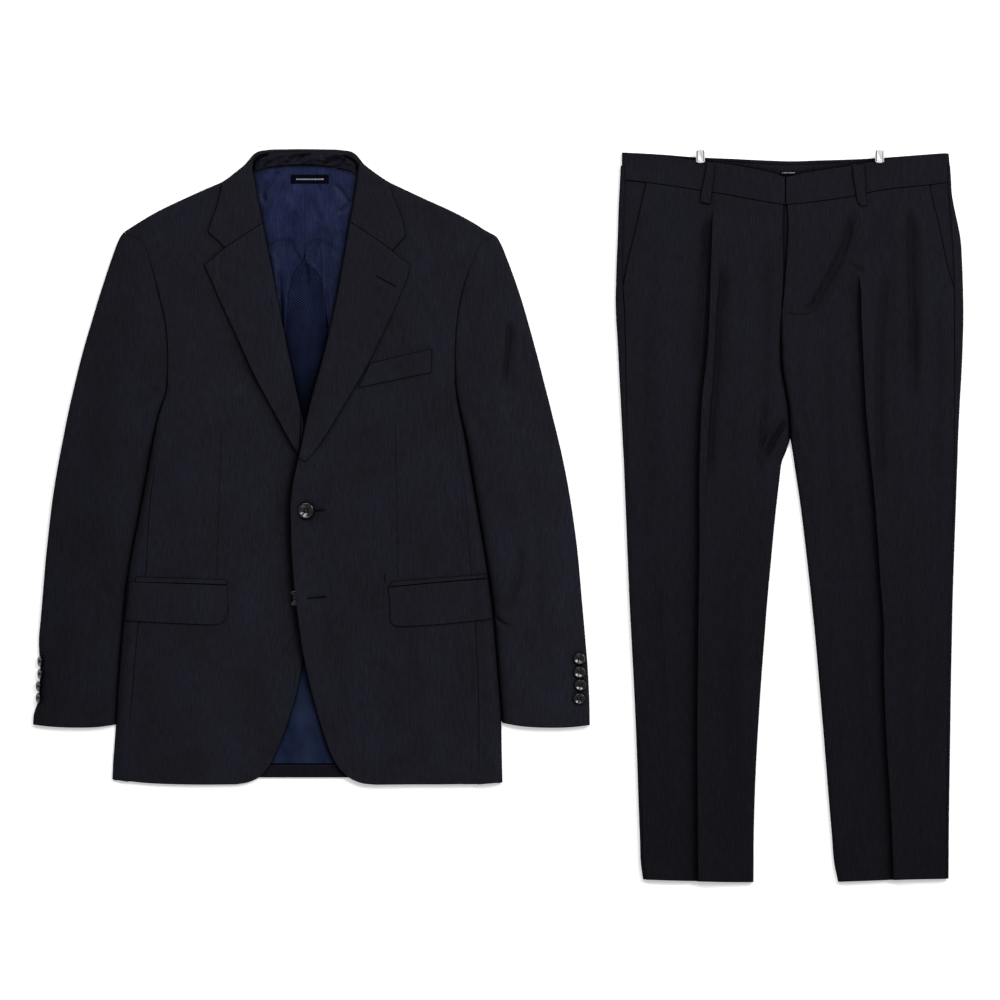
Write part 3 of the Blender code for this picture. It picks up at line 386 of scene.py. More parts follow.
def edges_round(corners, width, depth, turns=None):
    """Edges of one width and depth round a closed outline, each from one of its turns to the next."""
    closed = corners + corners[:1]
    stops = [*(turns or range(len(corners))), len(corners)]
    return [Edge(width, depth, closed[a : b + 1]) for a, b in zip(stops, stops[1:])]


def box_edges(x0, y0, x1, y1, width, depth):
    return edges_round([(x0, y0), (x1, y0), (x1, y1), (x0, y1)], width, depth)


def lattice(name, rows, thick):
    """A cloth over a lattice of points, (rows, columns, 3)."""
    rows = np.asarray(rows, float)
    count, columns = rows.shape[:2]
    index = np.arange(count * columns).reshape(count, columns)
    a, b, c, d = index[
        :-1, :-1,
    ].ravel(), index[:-1, 1:].ravel(), index[1:, 1:].ravel(), index[1:, :-1].ravel()
    faces = np.concatenate([np.column_stack([a, b, c]), np.column_stack([a, c, d])])
    points = rows.reshape(-1, 3)
    upper = np.argmax(points[faces].mean(1)[:, 2])
    p, q, r = (points[k] for k in faces[upper])
    if np.cross(q - p, r - p)[2] < 0:
        faces = faces[:, ::-1]
    across = np.linalg.norm(np.diff(rows, axis=1), axis=2).sum(1)
    down = length_of(rows[:, columns // 2])
    a, b, c = (points[faces[:, k]] for k in range(3))
    corners = [(0, 0), (across.max(), 0), (across.max(), down), (0, down)]
    keep_cut(corners)
    return shell(name, points, faces, thick)


# ------------------------------------------------------------------------------------------- materials


def node(tree, kind, **values):
    made = tree.nodes.new(kind)
    for key, value in values.items():
        if key in made.inputs:
            made.inputs[key].default_value = value
        else:
            setattr(made, key, value)
    return made


def noise(tree, scale, detail=2.0, rough=0.5):
    """Noise over the shared frame, stretched by scale features a metre in x, y and z."""
    place = node(tree, "ShaderNodeTexCoord")
    mapped = node(tree, "ShaderNodeMapping")
    mapped.inputs["Scale"].default_value = scale
    tree.links.new(place.outputs["Object"], mapped.inputs["Vector"])
    made = node(tree, "ShaderNodeTexNoise", Scale=1.0, Detail=detail, Roughness=rough)
    tree.links.new(mapped.outputs["Vector"], made.inputs["Vector"])
    return made.outputs["Fac"]


def ramp(tree, source, stops):
    made = node(tree, "ShaderNodeValToRGB")
    made.color_ramp.elements[0].position, made.color_ramp.elements[-1].position = stops[0][0], stops[-1][0]
    for place, colour in stops[1:-1]:
        made.color_ramp.elements.new(place)
    for element, (place, colour) in zip(made.color_ramp.elements, stops):
        element.position = place
        element.color = (*colour, 1.0)
    tree.links.new(source, made.inputs["Fac"])
    return made.outputs["Color"]


def mottle(tree, scale, low, high, detail=2.0, rough=0.5):
    """Noise between two colours."""
    return ramp(tree, noise(tree, scale, detail, rough), [(0.3, low), (0.7, high)])


def mix(tree, kind, amount, a, b):
    made = node(tree, "ShaderNodeMix", data_type="RGBA", blend_type=kind)
    for key, value in (("Factor", amount), ("A", a), ("B", b)):
        socket = [s for s in made.inputs if s.name == key and s.enabled][0]
        if isinstance(value, bpy.types.NodeSocket):
            tree.links.new(value, socket)
        else:
            socket.default_value = value if key == "Factor" else (*value, 1.0)
    return [s for s in made.outputs if s.enabled][0]


def surface(name, roughness, specular, metallic=0.0):
    made = bpy.data.materials.new(name)
    made.use_nodes = True
    shader = made.node_tree.nodes["Principled BSDF"]
    shader.inputs["Roughness"].default_value = roughness
    shader.inputs["Specular IOR Level"].default_value = specular
    shader.inputs["Metallic"].default_value = metallic
    return made, made.node_tree, shader


def bump(tree, shader, sources):
    """Chained bumps from (height, distance in mm, strength)."""
    last = None
    for height, distance, strength in sources:
        made = node(tree, "ShaderNodeBump", Strength=strength, Distance=distance * MM)
        tree.links.new(height, made.inputs["Height"])
        if last:
            tree.links.new(last, made.inputs["Normal"])
        last = made.outputs["Normal"]
    tree.links.new(last, shader.inputs["Normal"])


# Painted shade: how far the occlusion looks for nearby cloth, in mm, and how dark it paints each amount.
PAINTED_SHADE_REACH = 30.0
PAINTED_SHADE_STOPS = [(0.25, 0.03), (0.50, 0.14), (0.76, 0.45), (0.90, 0.76), (0.975, 1.0)]


def painted_crevice_shade(tree, colour):
    """Paints shade into a colour where cloth lies close against cloth, darkest in the narrowest gaps."""
    near = node(tree, "ShaderNodeAmbientOcclusion", Distance=PAINTED_SHADE_REACH * MM)
    near.samples = 8
    shade = ramp(tree, near.outputs["AO"], [(at, (value, value, value)) for at, value in PAINTED_SHADE_STOPS])
    return mix(tree, "MULTIPLY", 1.0, colour, shade)


def share_along(tree, axis, start, stop):
    """0 at start and 1 at stop, in metres along an axis of the shared frame."""
    place = node(tree, "ShaderNodeTexCoord")
    split = node(tree, "ShaderNodeSeparateXYZ")
    tree.links.new(place.outputs["Object"], split.inputs[0])
    made = node(tree, "ShaderNodeMapRange")
    for key, value in (("From Min", start), ("From Max", stop)):
        made.inputs[key].default_value = value
    tree.links.new(split.outputs[axis], made.inputs["Value"])
    return made.outputs["Result"]


def painted_light_along(tree, axis, start, stop, light_tones):
    """Painted light and shade: a tone that changes along an axis of the shared frame, through the given tones
    at even steps.
    """
    share = share_along(tree, axis, start, stop)
    places = np.linspace(0, 1, len(light_tones))
    return ramp(tree, share, [(float(place), (tone, tone, tone)) for place, tone in zip(places, light_tones)])


def suiting(name, axis, start, stop, light_tones, blotch=0.6):
    """Fine worsted: broken vertical streaks, pale flecks and slow blue patches over near black, with painted
    light that falls off along an axis and painted shade where cloth lies close.
    """
    made, tree, shader = surface(name, 0.8, 0.03)
    streaks = mottle(tree, (760, 70, 300), (0.0078, 0.0076, 0.0112), (0.0138, 0.0134, 0.0192), 3.0, 0.6)
    slow = noise(tree, (15, 11, 5), 4.0, 0.55)
    patches = ramp(
        tree, slow, [(0.36, (0.90, 0.82, 0.80)), (0.50, (1.0, 0.98, 1.0)), (0.64, (0.98, 1.14, 1.30))],
    )
    colour = mix(tree, "MULTIPLY", blotch, streaks, patches)
    flecks = ramp(
        tree, noise(tree, (900, 520, 300), 1.0), [(0.66, (0.0, 0.0, 0.0)), (0.8, (0.0090, 0.0090, 0.0110))],
    )
    colour = mix(tree, "ADD", 1.0, colour, flecks)
    # Painted light: the tone falls off along one axis; then painted shade where cloth lies close.
    colour = mix(tree, "MULTIPLY", 1.0, colour, painted_light_along(tree, axis, start, stop, light_tones))
    tree.links.new(painted_crevice_shade(tree, colour), shader.inputs["Base Color"])
    bump(
        tree, shader,
        [
            (noise(tree, (1500, 1500, 900), 2.0), 0.12, 0.35),
            (noise(tree, (45, 22, 20), 3.0, 0.55), 1.2, 0.4),
        ],
    )
    return made


def satin():
    """Navy lining: a filament weave with a soft gloss and small puckers."""
    made, tree, shader = surface("lining_satin", 0.42, 0.035)
    colour = ramp(
        tree, noise(tree, (620, 60, 200), 3.0, 0.6),
        [(0.3, (0.0068, 0.0098, 0.0300)), (0.72, (0.0138, 0.0188, 0.0550))],
    )
    patches = mottle(tree, (40, 26, 10), (0.58, 0.60, 0.64), (1.32, 1.30, 1.24), 3.0)
    # Painted light: the satin grows lighter towards the collar; below, painted shade where cloth lies close.
    colour = mix(tree, "MULTIPLY", 1.0, colour, painted_light_along(tree, "Y", 0.33, 0.44, (0.94, 1.0, 1.12, 1.24)))
    tree.links.new(
        painted_crevice_shade(tree, mix(tree, "MULTIPLY", 1.0, colour, patches)), shader.inputs["Base Color"],
    )
    bump(
        tree, shader,
        [(noise(tree, (900, 240, 300), 2.0), 0.1, 0.35), (noise(tree, (70, 48, 30), 3.0, 0.55), 2.4, 0.7)],
    )
    return made


def zigzag(tree, pitch, wave):
    """A fine zigzag of pale threads, 0 to 1: rows that step sideways as they go."""
    place = node(tree, "ShaderNodeTexCoord")
    split = node(tree, "ShaderNodeSeparateXYZ")
    tree.links.new(place.outputs["Object"], split.inputs[0])

    def math_node(kind, a, b=None):
        made = node(tree, "ShaderNodeMath", operation=kind)
        for socket, value in zip(made.inputs, (a, b)):
            if isinstance(value, bpy.types.NodeSocket):
                tree.links.new(value, socket)
            elif value is not None:
                socket.default_value = value
        return made.outputs[0]

    shift = math_node("PINGPONG", math_node("MULTIPLY", split.outputs["X"], 1 / (wave * MM)), 0.5)
    rows = math_node(
        "ADD", math_node("MULTIPLY", split.outputs["Y"], 1 / (pitch * MM)),
        math_node("MULTIPLY", shift, 2.0),
    )
    dots = math_node("SINE", math_node("MULTIPLY", rows, 2 * math.pi))
    threads = math_node("SINE", math_node("MULTIPLY", split.outputs["X"], 2 * math.pi / (pitch * 0.5 * MM)))
    return math_node(
        "MULTIPLY_ADD", math_node("MULTIPLY", dots, math_node("MULTIPLY_ADD", threads, 0.3)), 0.5,
    )


def patterned():
    """Darker figured lining of the centre panel, with painted shade that deepens down the V."""
    made, tree, shader = surface("lining_figured", 0.5, 0.012)
    figure = zigzag(tree, 3.3, 5.2)
    colour = ramp(tree, figure, [(0.42, (0.0002, 0.0004, 0.0034)), (0.62, (0.0120, 0.0172, 0.0460))])
    # Painted shade: the figure darkens to a fifth of its tone down the V towards the closed front.
    deep = painted_light_along(tree, "Y", 0.115, 0.275, (0.22, 0.36, 0.60, 0.86, 1.0))
    colour = mix(tree, "MULTIPLY", 1.0, colour, deep)
    upper = share_along(tree, "Y", -0.10, -0.02)
    colour = mix(tree, "MIX", upper, (0.0096, 0.0146, 0.0350), colour)
    patches = mottle(tree, (34, 22, 10), (0.60, 0.60, 0.66), (1.35, 1.35, 1.3), 3.0)
    tree.links.new(
        painted_crevice_shade(tree, mix(tree, "MULTIPLY", 1.0, colour, patches)), shader.inputs["Base Color"],
    )
    bump(tree, shader, [(figure, 0.25, 0.4), (noise(tree, (60, 40, 30), 3.0), 2.4, 0.6)])
    return made


def plain(name, low, high, roughness, specular, metallic=0.0, scale=(400, 400, 400)):
    """A material of two near colours."""
    made, tree, shader = surface(name, roughness, specular, metallic)
    tree.links.new(mottle(tree, scale, low, high), shader.inputs["Base Color"])
    bump(tree, shader, [(noise(tree, scale, 2.0), 0.05, 0.25)])
    return made


# The tones are painted light: the jacket darkens towards smaller x and the trousers towards their hems.
SUITING = suiting("suiting_jacket", "X", -0.60, 0.10, (0.66, 0.80, 0.94, 0.90, 0.88, 0.92, 1.0))
TROUSERING = suiting("suiting_trousers", "Y", -0.48, 0.48, (0.53, 0.56, 0.60, 0.67, 0.76, 0.78, 0.78), 0.25)
# The hem facing: the suiting painted uniformly darker, as painted shade.
SHADED_FACING_CLOTH = suiting("suiting_facing_painted_shade", "Y", -0.48, 0.48, (0.58, 0.58))
SATIN = satin()
PATTERNED = patterned()
BUTTON = plain(
    "button_gloss", (0.001, 0.001, 0.0013), (0.003, 0.003, 0.004), 0.17, 0.60, scale=(160, 160, 160),
)
STEEL = plain(
    "clip_steel", (0.62, 0.63, 0.65), (0.88, 0.89, 0.90), 0.35, 0.5, metallic=0.45, scale=(900, 60, 900),
)
# Near-black strips laid along a clip's sides: painted shade where its edges roll up.
CLIP_EDGE_SHADE = plain("clip_edge_painted_shade", (0.010, 0.010, 0.011), (0.045, 0.045, 0.05), 0.5, 0.05, scale=(900, 60, 900))
THREAD = plain(
    "thread", (0.0030, 0.0030, 0.0042), (0.0090, 0.0090, 0.0130), 0.7, 0.02, scale=(2500, 2500, 2500),
)
BLUE_THREAD = plain(
    "lining_thread", (0.022, 0.028, 0.07), (0.036, 0.045, 0.10), 0.7, 0.02, scale=(2500, 2500, 2500),
)
LABEL = plain(
    "label_weave", (0.0008, 0.0009, 0.0030), (0.0024, 0.0027, 0.0062), 0.8, 0.01, scale=(2200, 900, 900),
)
LABEL_BAR = plain("label_bar", (0.05, 0.055, 0.07), (0.30, 0.31, 0.36), 0.8, 0.02, scale=(1300, 700, 700))
HOLE = plain("hole_dark", (0.001, 0.001, 0.0012), (0.002, 0.002, 0.0025), 0.8, 0.01)


def dress(made, material, *nodes):
    """Gives a piece its material and its body, and hides the solids that it stands for."""
    made.data.materials.append(material)
    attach(made, "root")
    if nodes:
        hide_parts(*nodes)
    return made


# ------------------------------------------------------------------------------------------- jacket plans

# Outer folds of the sleeves, from the shoulder's tip to the cuff, and the lines where body and sleeve meet.
SLEEVE_FOLD = {
    "right": [
        (123.9, 232.2), (120.4, 236.8), (118.4, 241), (111.4, 260), (104.7, 280), (98.3, 300), (92.3, 320),
        (86.3, 340), (80.8, 360), (75.9, 380), (71.2, 400), (66.9, 420), (63.0, 440), (59.1, 460),
        (55.6, 480), (52.6, 500), (50.1, 520), (47.9, 540), (45.8, 560), (44.1, 580), (42.4, 600),
        (40.7, 620), (39.0, 640), (39.3, 652), (40.2, 662), (40.1, 676), (39.2, 690), (38.4, 701),
        (36.2, 707), (34.2, 713), (33.2, 724.5),
    ],
    "left": [
        (494.6, 235.2), (497.0, 237.2), (499.4, 241), (507.6, 260), (515, 280), (521.7, 300), (527.6, 320),
        (533.1, 340), (538.5, 360), (543.6, 380), (548.7, 400), (553.7, 420), (558.6, 440), (563.1, 460),
        (567.1, 480), (570.6, 500), (573.6, 520), (576.3, 540), (578.5, 560), (580.3, 580), (582.0, 600),
        (583.8, 620), (585.5, 640), (587.2, 660), (588.5, 680), (589.4, 700), (589.9, 725),
    ],
}
ARMHOLE = {
    "right": [
        (123.9, 232.2), (131, 236), (141, 240.5), (145.6, 248), (153, 270), (160, 298), (165.8, 324),
        (167.6, 345), (167.7, 380),
    ],
    "left": [
        (494.6, 235.2), (490, 238.2), (483.6, 242.5), (472, 263), (463, 289), (457.5, 317), (455, 352),
        (455.2, 380),
    ],
}
BODY_FOLD = {
    "right": [
        (167.7, 380), (165.4, 396), (161, 408), (154.6, 435), (147, 476), (138.4, 521), (131.3, 558),
        (127, 588), (123.8, 622), (121, 652), (118, 696), (116, 726), (114.6, 745), (113.3, 762),
        (112.6, 778.5),
    ],
    "left": [
        (455.2, 380), (456.6, 396), (459.4, 412), (464.2, 435), (472.2, 481), (480.4, 529), (486, 563),
        (492.4, 610), (496, 652), (499, 689), (501.4, 722), (501.6, 740), (502, 762), (502.5, 781.5),
    ],
}
SIDE_SEAM = {
    "right": [
        (167.7, 380), (170.2, 391), (169.8, 404), (161.8, 438), (153.4, 480), (149.6, 512), (146.2, 570),
        (139.8, 616), (136, 652), (132, 700), (129.8, 730), (128.6, 760), (128.0, 781),
    ],
    "left": [
        (455.2, 380), (451.6, 391), (451.6, 404), (457.4, 438), (463.8, 480), (466.6, 512), (470, 560),
        (474.8, 612), (476.6, 652), (478.6, 700), (478.8, 730), (478.4, 760), (477.6, 783.6),
    ],
}
SHOULDER = {
    "right": [
        (123.9, 232.2), (135, 225.0), (156.4, 212.2), (181.1, 200.2), (207.7, 188.2), (222, 182),
        (238, 172),
    ],
    "left": [
        (494.6, 235.2), (485.1, 230.2), (475.7, 224.2), (453.7, 212.2), (427.4, 200.2), (401.8, 188.2),
        (389, 182), (374, 172),
    ],
}
ROLL = {
    "right": [
        (253, 168), (256.4, 187), (260, 207), (263.4, 224), (267.4, 244), (277, 292), (286, 339),
        (295, 382),
        (301, 409), (304.4, 426),
    ],
    "left": [
        (358.8, 160), (356.6, 180), (352.4, 206), (349.2, 224), (345.2, 248), (338, 289), (330, 328),
        (320.6, 366), (312.2, 395), (304.4, 428), (298.4, 459),
    ],
}
FRONT_EDGE = {
    "right": [
        (304.4, 426), (306, 445), (311, 480), (315, 520), (315.5, 560), (312, 610), (303.7, 659),
        (297.3, 691.5), (286.8, 726), (276.8, 751), (269, 766.5), (260.5, 776.4), (249.4, 781.9),
        (237, 784.3),
    ],
    "left": [
        (298.6, 459), (292.9, 486), (291.0, 504), (291.2, 525), (291.6, 546), (292.9, 566), (294.6, 587),
        (297, 608), (299.5, 628), (303.2, 652), (306.5, 669), (311.3, 690), (316.8, 711), (322.8, 731),
        (328.6, 748), (337, 765), (347.6, 776.4), (361.5, 782.9), (376, 784.6),
    ],
}
HEM = {
    "right": [(237, 784.3), (205, 784.6), (169.3, 784), (145, 782.8), (128.0, 781)],
    "left": [(376, 784.6), (408.5, 784.3), (445, 784.2), (477.6, 783.6)],
}
LAPEL_EDGE = {
    "right": [
        (204.4, 265.2), (213, 284), (219.2, 298.6), (225.7, 313), (237, 337), (248.3, 362), (253.8, 374),
        (260.5, 387), (267.1, 399), (273.6, 411), (280.7, 424), (287.2, 436), (294.3, 448), (299.6, 456.8),
    ],
    "left": [
        (411.2, 265.4), (408.6, 276), (403.4, 289.4), (393, 314), (383, 335), (370, 362), (357.5, 384.5),
        (346.6, 402.4), (331.6, 427.6), (315.6, 451.6), (306, 463),
    ],
}
GORGE = {
    "right": [(263.4, 223), (242, 236.8), (225.4, 248)],
    "left": [(349.4, 221.6), (371, 235.6), (392.7, 251.3)],
}
LAPEL_TOP_EDGE = {
    "right": [(225.4, 248), (214, 257.6), (204.4, 265.2)],
    "left": [(392.7, 251.3), (402, 258.8), (411.2, 265.4)],
}
COLLAR_END = {
    "right": [(225.4, 248), (217.5, 240.4), (208.4, 232.2)],
    "left": [(392.7, 251.3), (399.4, 244), (406.2, 236.2)],
}
COLLAR_FALL = {
    "right": [(208.4, 232.2), (211.6, 221.5), (215.4, 211.5), (219, 200), (222.4, 183.4)],
    "left": [(406.2, 236.2), (404, 225), (400.8, 213.5), (396.2, 203.5), (388.6, 183.4)],
}
COLLAR_BACK = {
    "right": [
        (222.4, 183.4), (230.9, 176), (238.6, 170), (245.4, 164.2), (250.4, 158.4), (253.4, 154.8),
        (257.6, 152), (266.1, 150.2), (285, 149.4), (304, 149.2),
    ],
    "left": [
        (388.6, 183.4), (379.6, 176), (371.4, 170), (364, 164.2), (359.6, 158.4), (356, 154.4), (352, 152),
        (342.1, 150.2), (322, 149.4), (304, 149.2),
    ],
}
CREST = {
    "right": [(253, 168), (253.6, 161.5), (257.4, 156.6), (266, 153.4), (285, 152.2), (304, 152)],
    "left": [(358.8, 160), (356.6, 157), (351, 155), (341, 153), (322, 152.2), (304, 152)],
}
STAND_SEAM = [
    (249.6, 175.6), (256.0, 172), (265.6, 168.4), (279, 166.2), (293, 165.2), (315, 165.2), (334, 167.6),
    (351, 172.2), (355, 174.4), (361.4, 178.0),
]
CUFF_HEM = {
    "right": [(33.2, 724.5), (48, 726.3), (75, 727.6), (98, 727), (116.2, 724.6)],
    "left": [(589.9, 725), (572, 727), (546, 727.6), (520, 726), (501.9, 722.8)],
}
FLAPS = {
    "right": [
        (227.3, 585.2), (180, 583.4), (129.4, 581.6), (127.6, 602), (125.6, 620.6), (170, 623.2),
        (214, 625),
        (227.6, 612),
    ],
    "left": [
        (388.4, 587.2), (437, 582.6), (488.0, 578.6), (490.6, 598), (492.6, 618.8), (440, 624.4),
        (402, 626.8), (390.4, 614),
    ],
}


# ------------------------------------------------------------------------------------------- folds

# A dart is a groove with the turned cloth raised beside it.
DARTS = [
    Fold(-0.5, 0.7, 0.7, 30, 2, [(221.4, 418), (219.6, 480), (217.6, 540), (216.8, 577)]),
    Fold(0.12, 1.6, 1.6, 30, 4, [(223.2, 418), (221.4, 480), (219.4, 540), (218.6, 577)]),
    Fold(-0.5, 0.7, 0.7, 30, 2, [(394.8, 406), (396, 470), (397.4, 540), (397.8, 578)]),
    Fold(0.12, 1.6, 1.6, 30, 4, [(396.6, 406), (397.8, 470), (399.2, 540), (399.6, 578)]),
]
DRAPE = [
    # soft drape of the fronts
    Fold(1.5, 22, 14, 80, 60, [(190, 300), (186, 420), (182, 540)]),
    Fold(-0.6, 12, 18, 60, 60, [(246, 420), (252, 520), (262, 640)]),
    Fold(1.4, 16, 20, 60, 80, [(330, 470), (338, 560), (352, 660), (372, 740)]),
    Fold(-0.5, 14, 14, 60, 60, [(432, 420), (438, 500), (440, 560)]),
    Fold(1.3, 20, 16, 60, 60, [(205, 640), (200, 700), (192, 782)]),
    Fold(1.3, 14, 20, 40, 60, [(420, 640), (426, 700), (436, 782)]),
    Fold(-0.6, 10, 14, 30, 50, [(270, 480), (276, 560), (280, 640)]),
    # the rolled outer folds of the body
    Fold(
        2.4, 9, 9, 70, 60,
        [(168, 412), (155, 470), (145, 525), (136, 580), (130.6, 640), (125, 705), (121, 780)],
    ),
    Fold(
        2.0, 9, 9, 70, 60,
        [(454, 412), (465, 470), (474, 525), (482, 580), (488.4, 640), (493, 705), (494, 780)],
    ),
]
JACKET_FOLDS = DARTS + DRAPE
SLEEVE_FOLDS = {
    "right": [
        Fold(1.8, 20, 16, 60, 90, [(140, 290), (128, 380), (112, 470), (100, 560)]),
        Fold(-1.6, 14, 20, 50, 90, [(112, 300), (98, 380), (84, 470), (74, 560)]),
        Fold(1.2, 10, 16, 50, 80, [(88, 560), (80, 640), (76, 724)]),
        Fold(-2.0, 6, 5, 10, 30, [(160, 386), (148, 398), (130, 424)]),
    ],
    "left": [
        Fold(1.8, 16, 14, 60, 90, [(482, 290), (494, 380), (508, 470), (526, 560)]),
        Fold(-2.8, 3.4, 3.0, 16, 24, [(509.4, 318), (508, 345), (505.6, 367), (502.8, 392)]),
        Fold(1.8, 7, 4, 16, 30, [(517, 318), (516, 352), (513, 392)]),
        Fold(-2.8, 4.4, 4.4, 24, 8, [(521.6, 540), (519.4, 568), (514.4, 592), (504, 614)]),
        Fold(1.8, 4, 5, 20, 8, [(511, 560), (507, 584), (498, 604)]),
        Fold(-2.2, 2.4, 2.4, 3, 10, [(495, 616.6), (501, 622), (513, 627)]),
        Fold(-1.6, 7, 7, 40, 60, [(537, 520), (537, 580), (536, 650)]),
        Fold(-1.8, 8, 6, 16, 40, [(463, 398), (474, 420), (490, 450)]),
        Fold(1.6, 10, 16, 50, 80, [(552, 560), (558, 640), (556, 724)]),
    ],
}
LAPEL_LIFT = {
    "right": [Fold(2.6, 12, 16, 90, 6, [(219, 318), (244, 366), (268, 414), (294, 455)])],
    "left": [Fold(0.8, 10, 14, 60, 30, [(396, 300), (366, 366), (330, 424), (306, 458)])],
}
# The front on top rises to its edge, and the other dips beside it.
LEFT_EDGE_LIFT = [
    Fold(
        6.4, 20, 16, 34, 110,
        [(304, 436), (299, 458), (292, 495), (291.4, 555), (297, 612), (304, 662), (318, 715)],
    ),
    Fold(1.4, 10, 10, 0, 18, [(288, 598), (312, 597.6)]),
]
LEFT_FOLDS = DRAPE + LEFT_EDGE_LIFT
UNDER_EDGE_DIP = [
    Fold(
        -1.6, 10, 9, 30, 100, [(306, 436), (301, 460), (294.5, 495), (293.5, 555), (299, 612), (305, 665)],
        1.3,
    ),
]
LAPEL_BED = [Fold(-1.3, 7, 6, 60, 20, [(214, 298), (232, 338), (250, 378), (271, 421), (293, 457)])]


def crown(points):
    """1 at the sleeve's crown, where the armhole seam is pressed open and hardly shows, and 0 below it."""
    return rising(points, 296, 246)


def armhole_depth(points):
    return 0.8 - 0.62 * crown(points)


def sleeve_level(side):
    """A sleeve's height, drawn down towards the armhole seam and lower still beside the body."""
    seam = spline(plan(ARMHOLE[side] + BODY_FOLD[side][1:]), 6.0)

    def level(points):
        share = rising(points, 440, 320)
        foot = 6.4 + (FRONT_TOP[side] - 0.9 - 6.4) * share + 0.8 * crown(points)
        return SLEEVE_TOP - (SLEEVE_TOP - foot) * np.exp(
            -((nearest(points, seam)[0] / (11 + 11 * share)) ** 2)
        )

    return level


def rounded(inward, top, reach=ROUND):
    """Height of a folded edge of cloth at a distance in from the fold."""
    half = top / 2
    return half + half * np.sqrt(1 - (1 - np.clip(inward / reach, 0, 1)) ** 2)


def collar_level(points):
    """The collar's height: on the right front, on the left front, and up to the crest between them."""
    middle = plan([(CENTRE, 0)])[0, 0]
    ends = np.where(points[:, 0] < middle, LAPEL_TOP["right"], LAPEL_TOP["left"])
    return ends + (CREST_TOP - ends) * rising(points, 200, 160)


# How far down each side seam shows as a groove, in plan units: it is pressed flat above and below.
SEAM_SHOWS = {"right": (455, 500, 708, 735), "left": (520, 556, 740, 770)}


def seam_depth(side):
    first, second, third, last = SEAM_SHOWS[side]

    def depth(points):
        return 0.04 + 0.38 * (1 - rising(points, second, first)) * rising(points, last, third)

    return depth


def build_fronts():
    for side in SIDES:
        level = FRONT_TOP[side]
        soft = 4.0 if side == "left" else 3.2
        edges = [
            Edge(6.0, soft, [ROLL[side][0]] + flipped(SHOULDER[side])),
            Edge(1.4, armhole_depth, ARMHOLE[side]),
            Edge(1.1, seam_depth(side), SIDE_SEAM[side]),
            Edge(1.3, 1.0, flipped(HEM[side])),
            Edge(1.5, 0.9, flipped(FRONT_EDGE[side])),
            Edge(2.5, 1.6, flipped(ROLL[side])),
        ]
        folds = JACKET_FOLDS + (LEFT_EDGE_LIFT if side == "left" else UNDER_EDGE_DIP + LAPEL_BED)
        made = panel(f"front_cloth_{side}", edges, level, folds, rolling=UNEVEN)
        dress(made, SUITING, f"front_{side}")


# The roll line's points that a lapel has, and the width and depth of its rims: at its top, along its outer
# edge, at its lower end and along the roll.
LAPEL_ROLL = {"right": slice(4, 9), "left": slice(4, 11)}
LAPEL_RIMS = {
    "right": ((1.3, 0.9), (1.3, 0.95), (1.3, 0.95), (2.2, 3.4)),
    "left": ((3.0, 2.5), (5.0, 2.55), (6.0, 2.6), (3.0, 3.4)),
}
GORGE_RIM = (1.2, 0.75)


def build_lapels():
    for side in SIDES:
        roll = [GORGE[side][0]] + ROLL[side][LAPEL_ROLL[side]]
        top, outer, low, rolled = LAPEL_RIMS[side]
        edges = [
            Edge(*GORGE_RIM, GORGE[side]),
            Edge(*top, LAPEL_TOP_EDGE[side]),
            Edge(*outer, LAPEL_EDGE[side]),
            Edge(*low, [LAPEL_EDGE[side][-1], roll[-1]]),
            Edge(*rolled, flipped(roll)),
        ]
        folds = DRAPE + LAPEL_LIFT[side] + (LEFT_EDGE_LIFT if side == "left" else [])
        made = panel(f"facing_cloth_{side}", edges, LAPEL_TOP[side], folds, rolling=UNEVEN)
        dress(made, SUITING, f"facing_{side}")


def build_collar():
    edges = [
        Edge(1.3, 0.9, COLLAR_END["right"]),
        Edge(1.3, 0.95, COLLAR_FALL["right"]),
        Edge(6.0, 6.0, COLLAR_BACK["right"] + flipped(COLLAR_BACK["left"])[1:], curl=3.0),
        Edge(4.0, 2.5, flipped(COLLAR_FALL["left"])),
        Edge(3.0, 2.4, flipped(COLLAR_END["left"])),
        Edge(*GORGE_RIM, flipped(GORGE["left"])),
        Edge(4.0, 3.2, [GORGE["left"][0]] + flipped(ROLL["left"][:3])),
        Edge(0.8, 0.5, CREST["left"] + flipped(CREST["right"])[1:]),
        Edge(2.2, 3.2, ROLL["right"][:3] + [GORGE["right"][0]]),
        Edge(*GORGE_RIM, GORGE["right"]),
    ]
    made = panel("collar_cloth", edges, collar_level, DRAPE, pitch=3.0, step=2.0, rolling=0.4)
    dress(made, SUITING, "collar")


def stand_level(points):
    """The inside of the stand, from the lining's edge up to the crest."""
    low, high = rows_at(172, 153)
    share = np.clip((points[:, 1] - low) / (high - low), 0, 1)
    return STAND_FOOT + (CREST_TOP - 0.4 - STAND_FOOT) * share**0.8


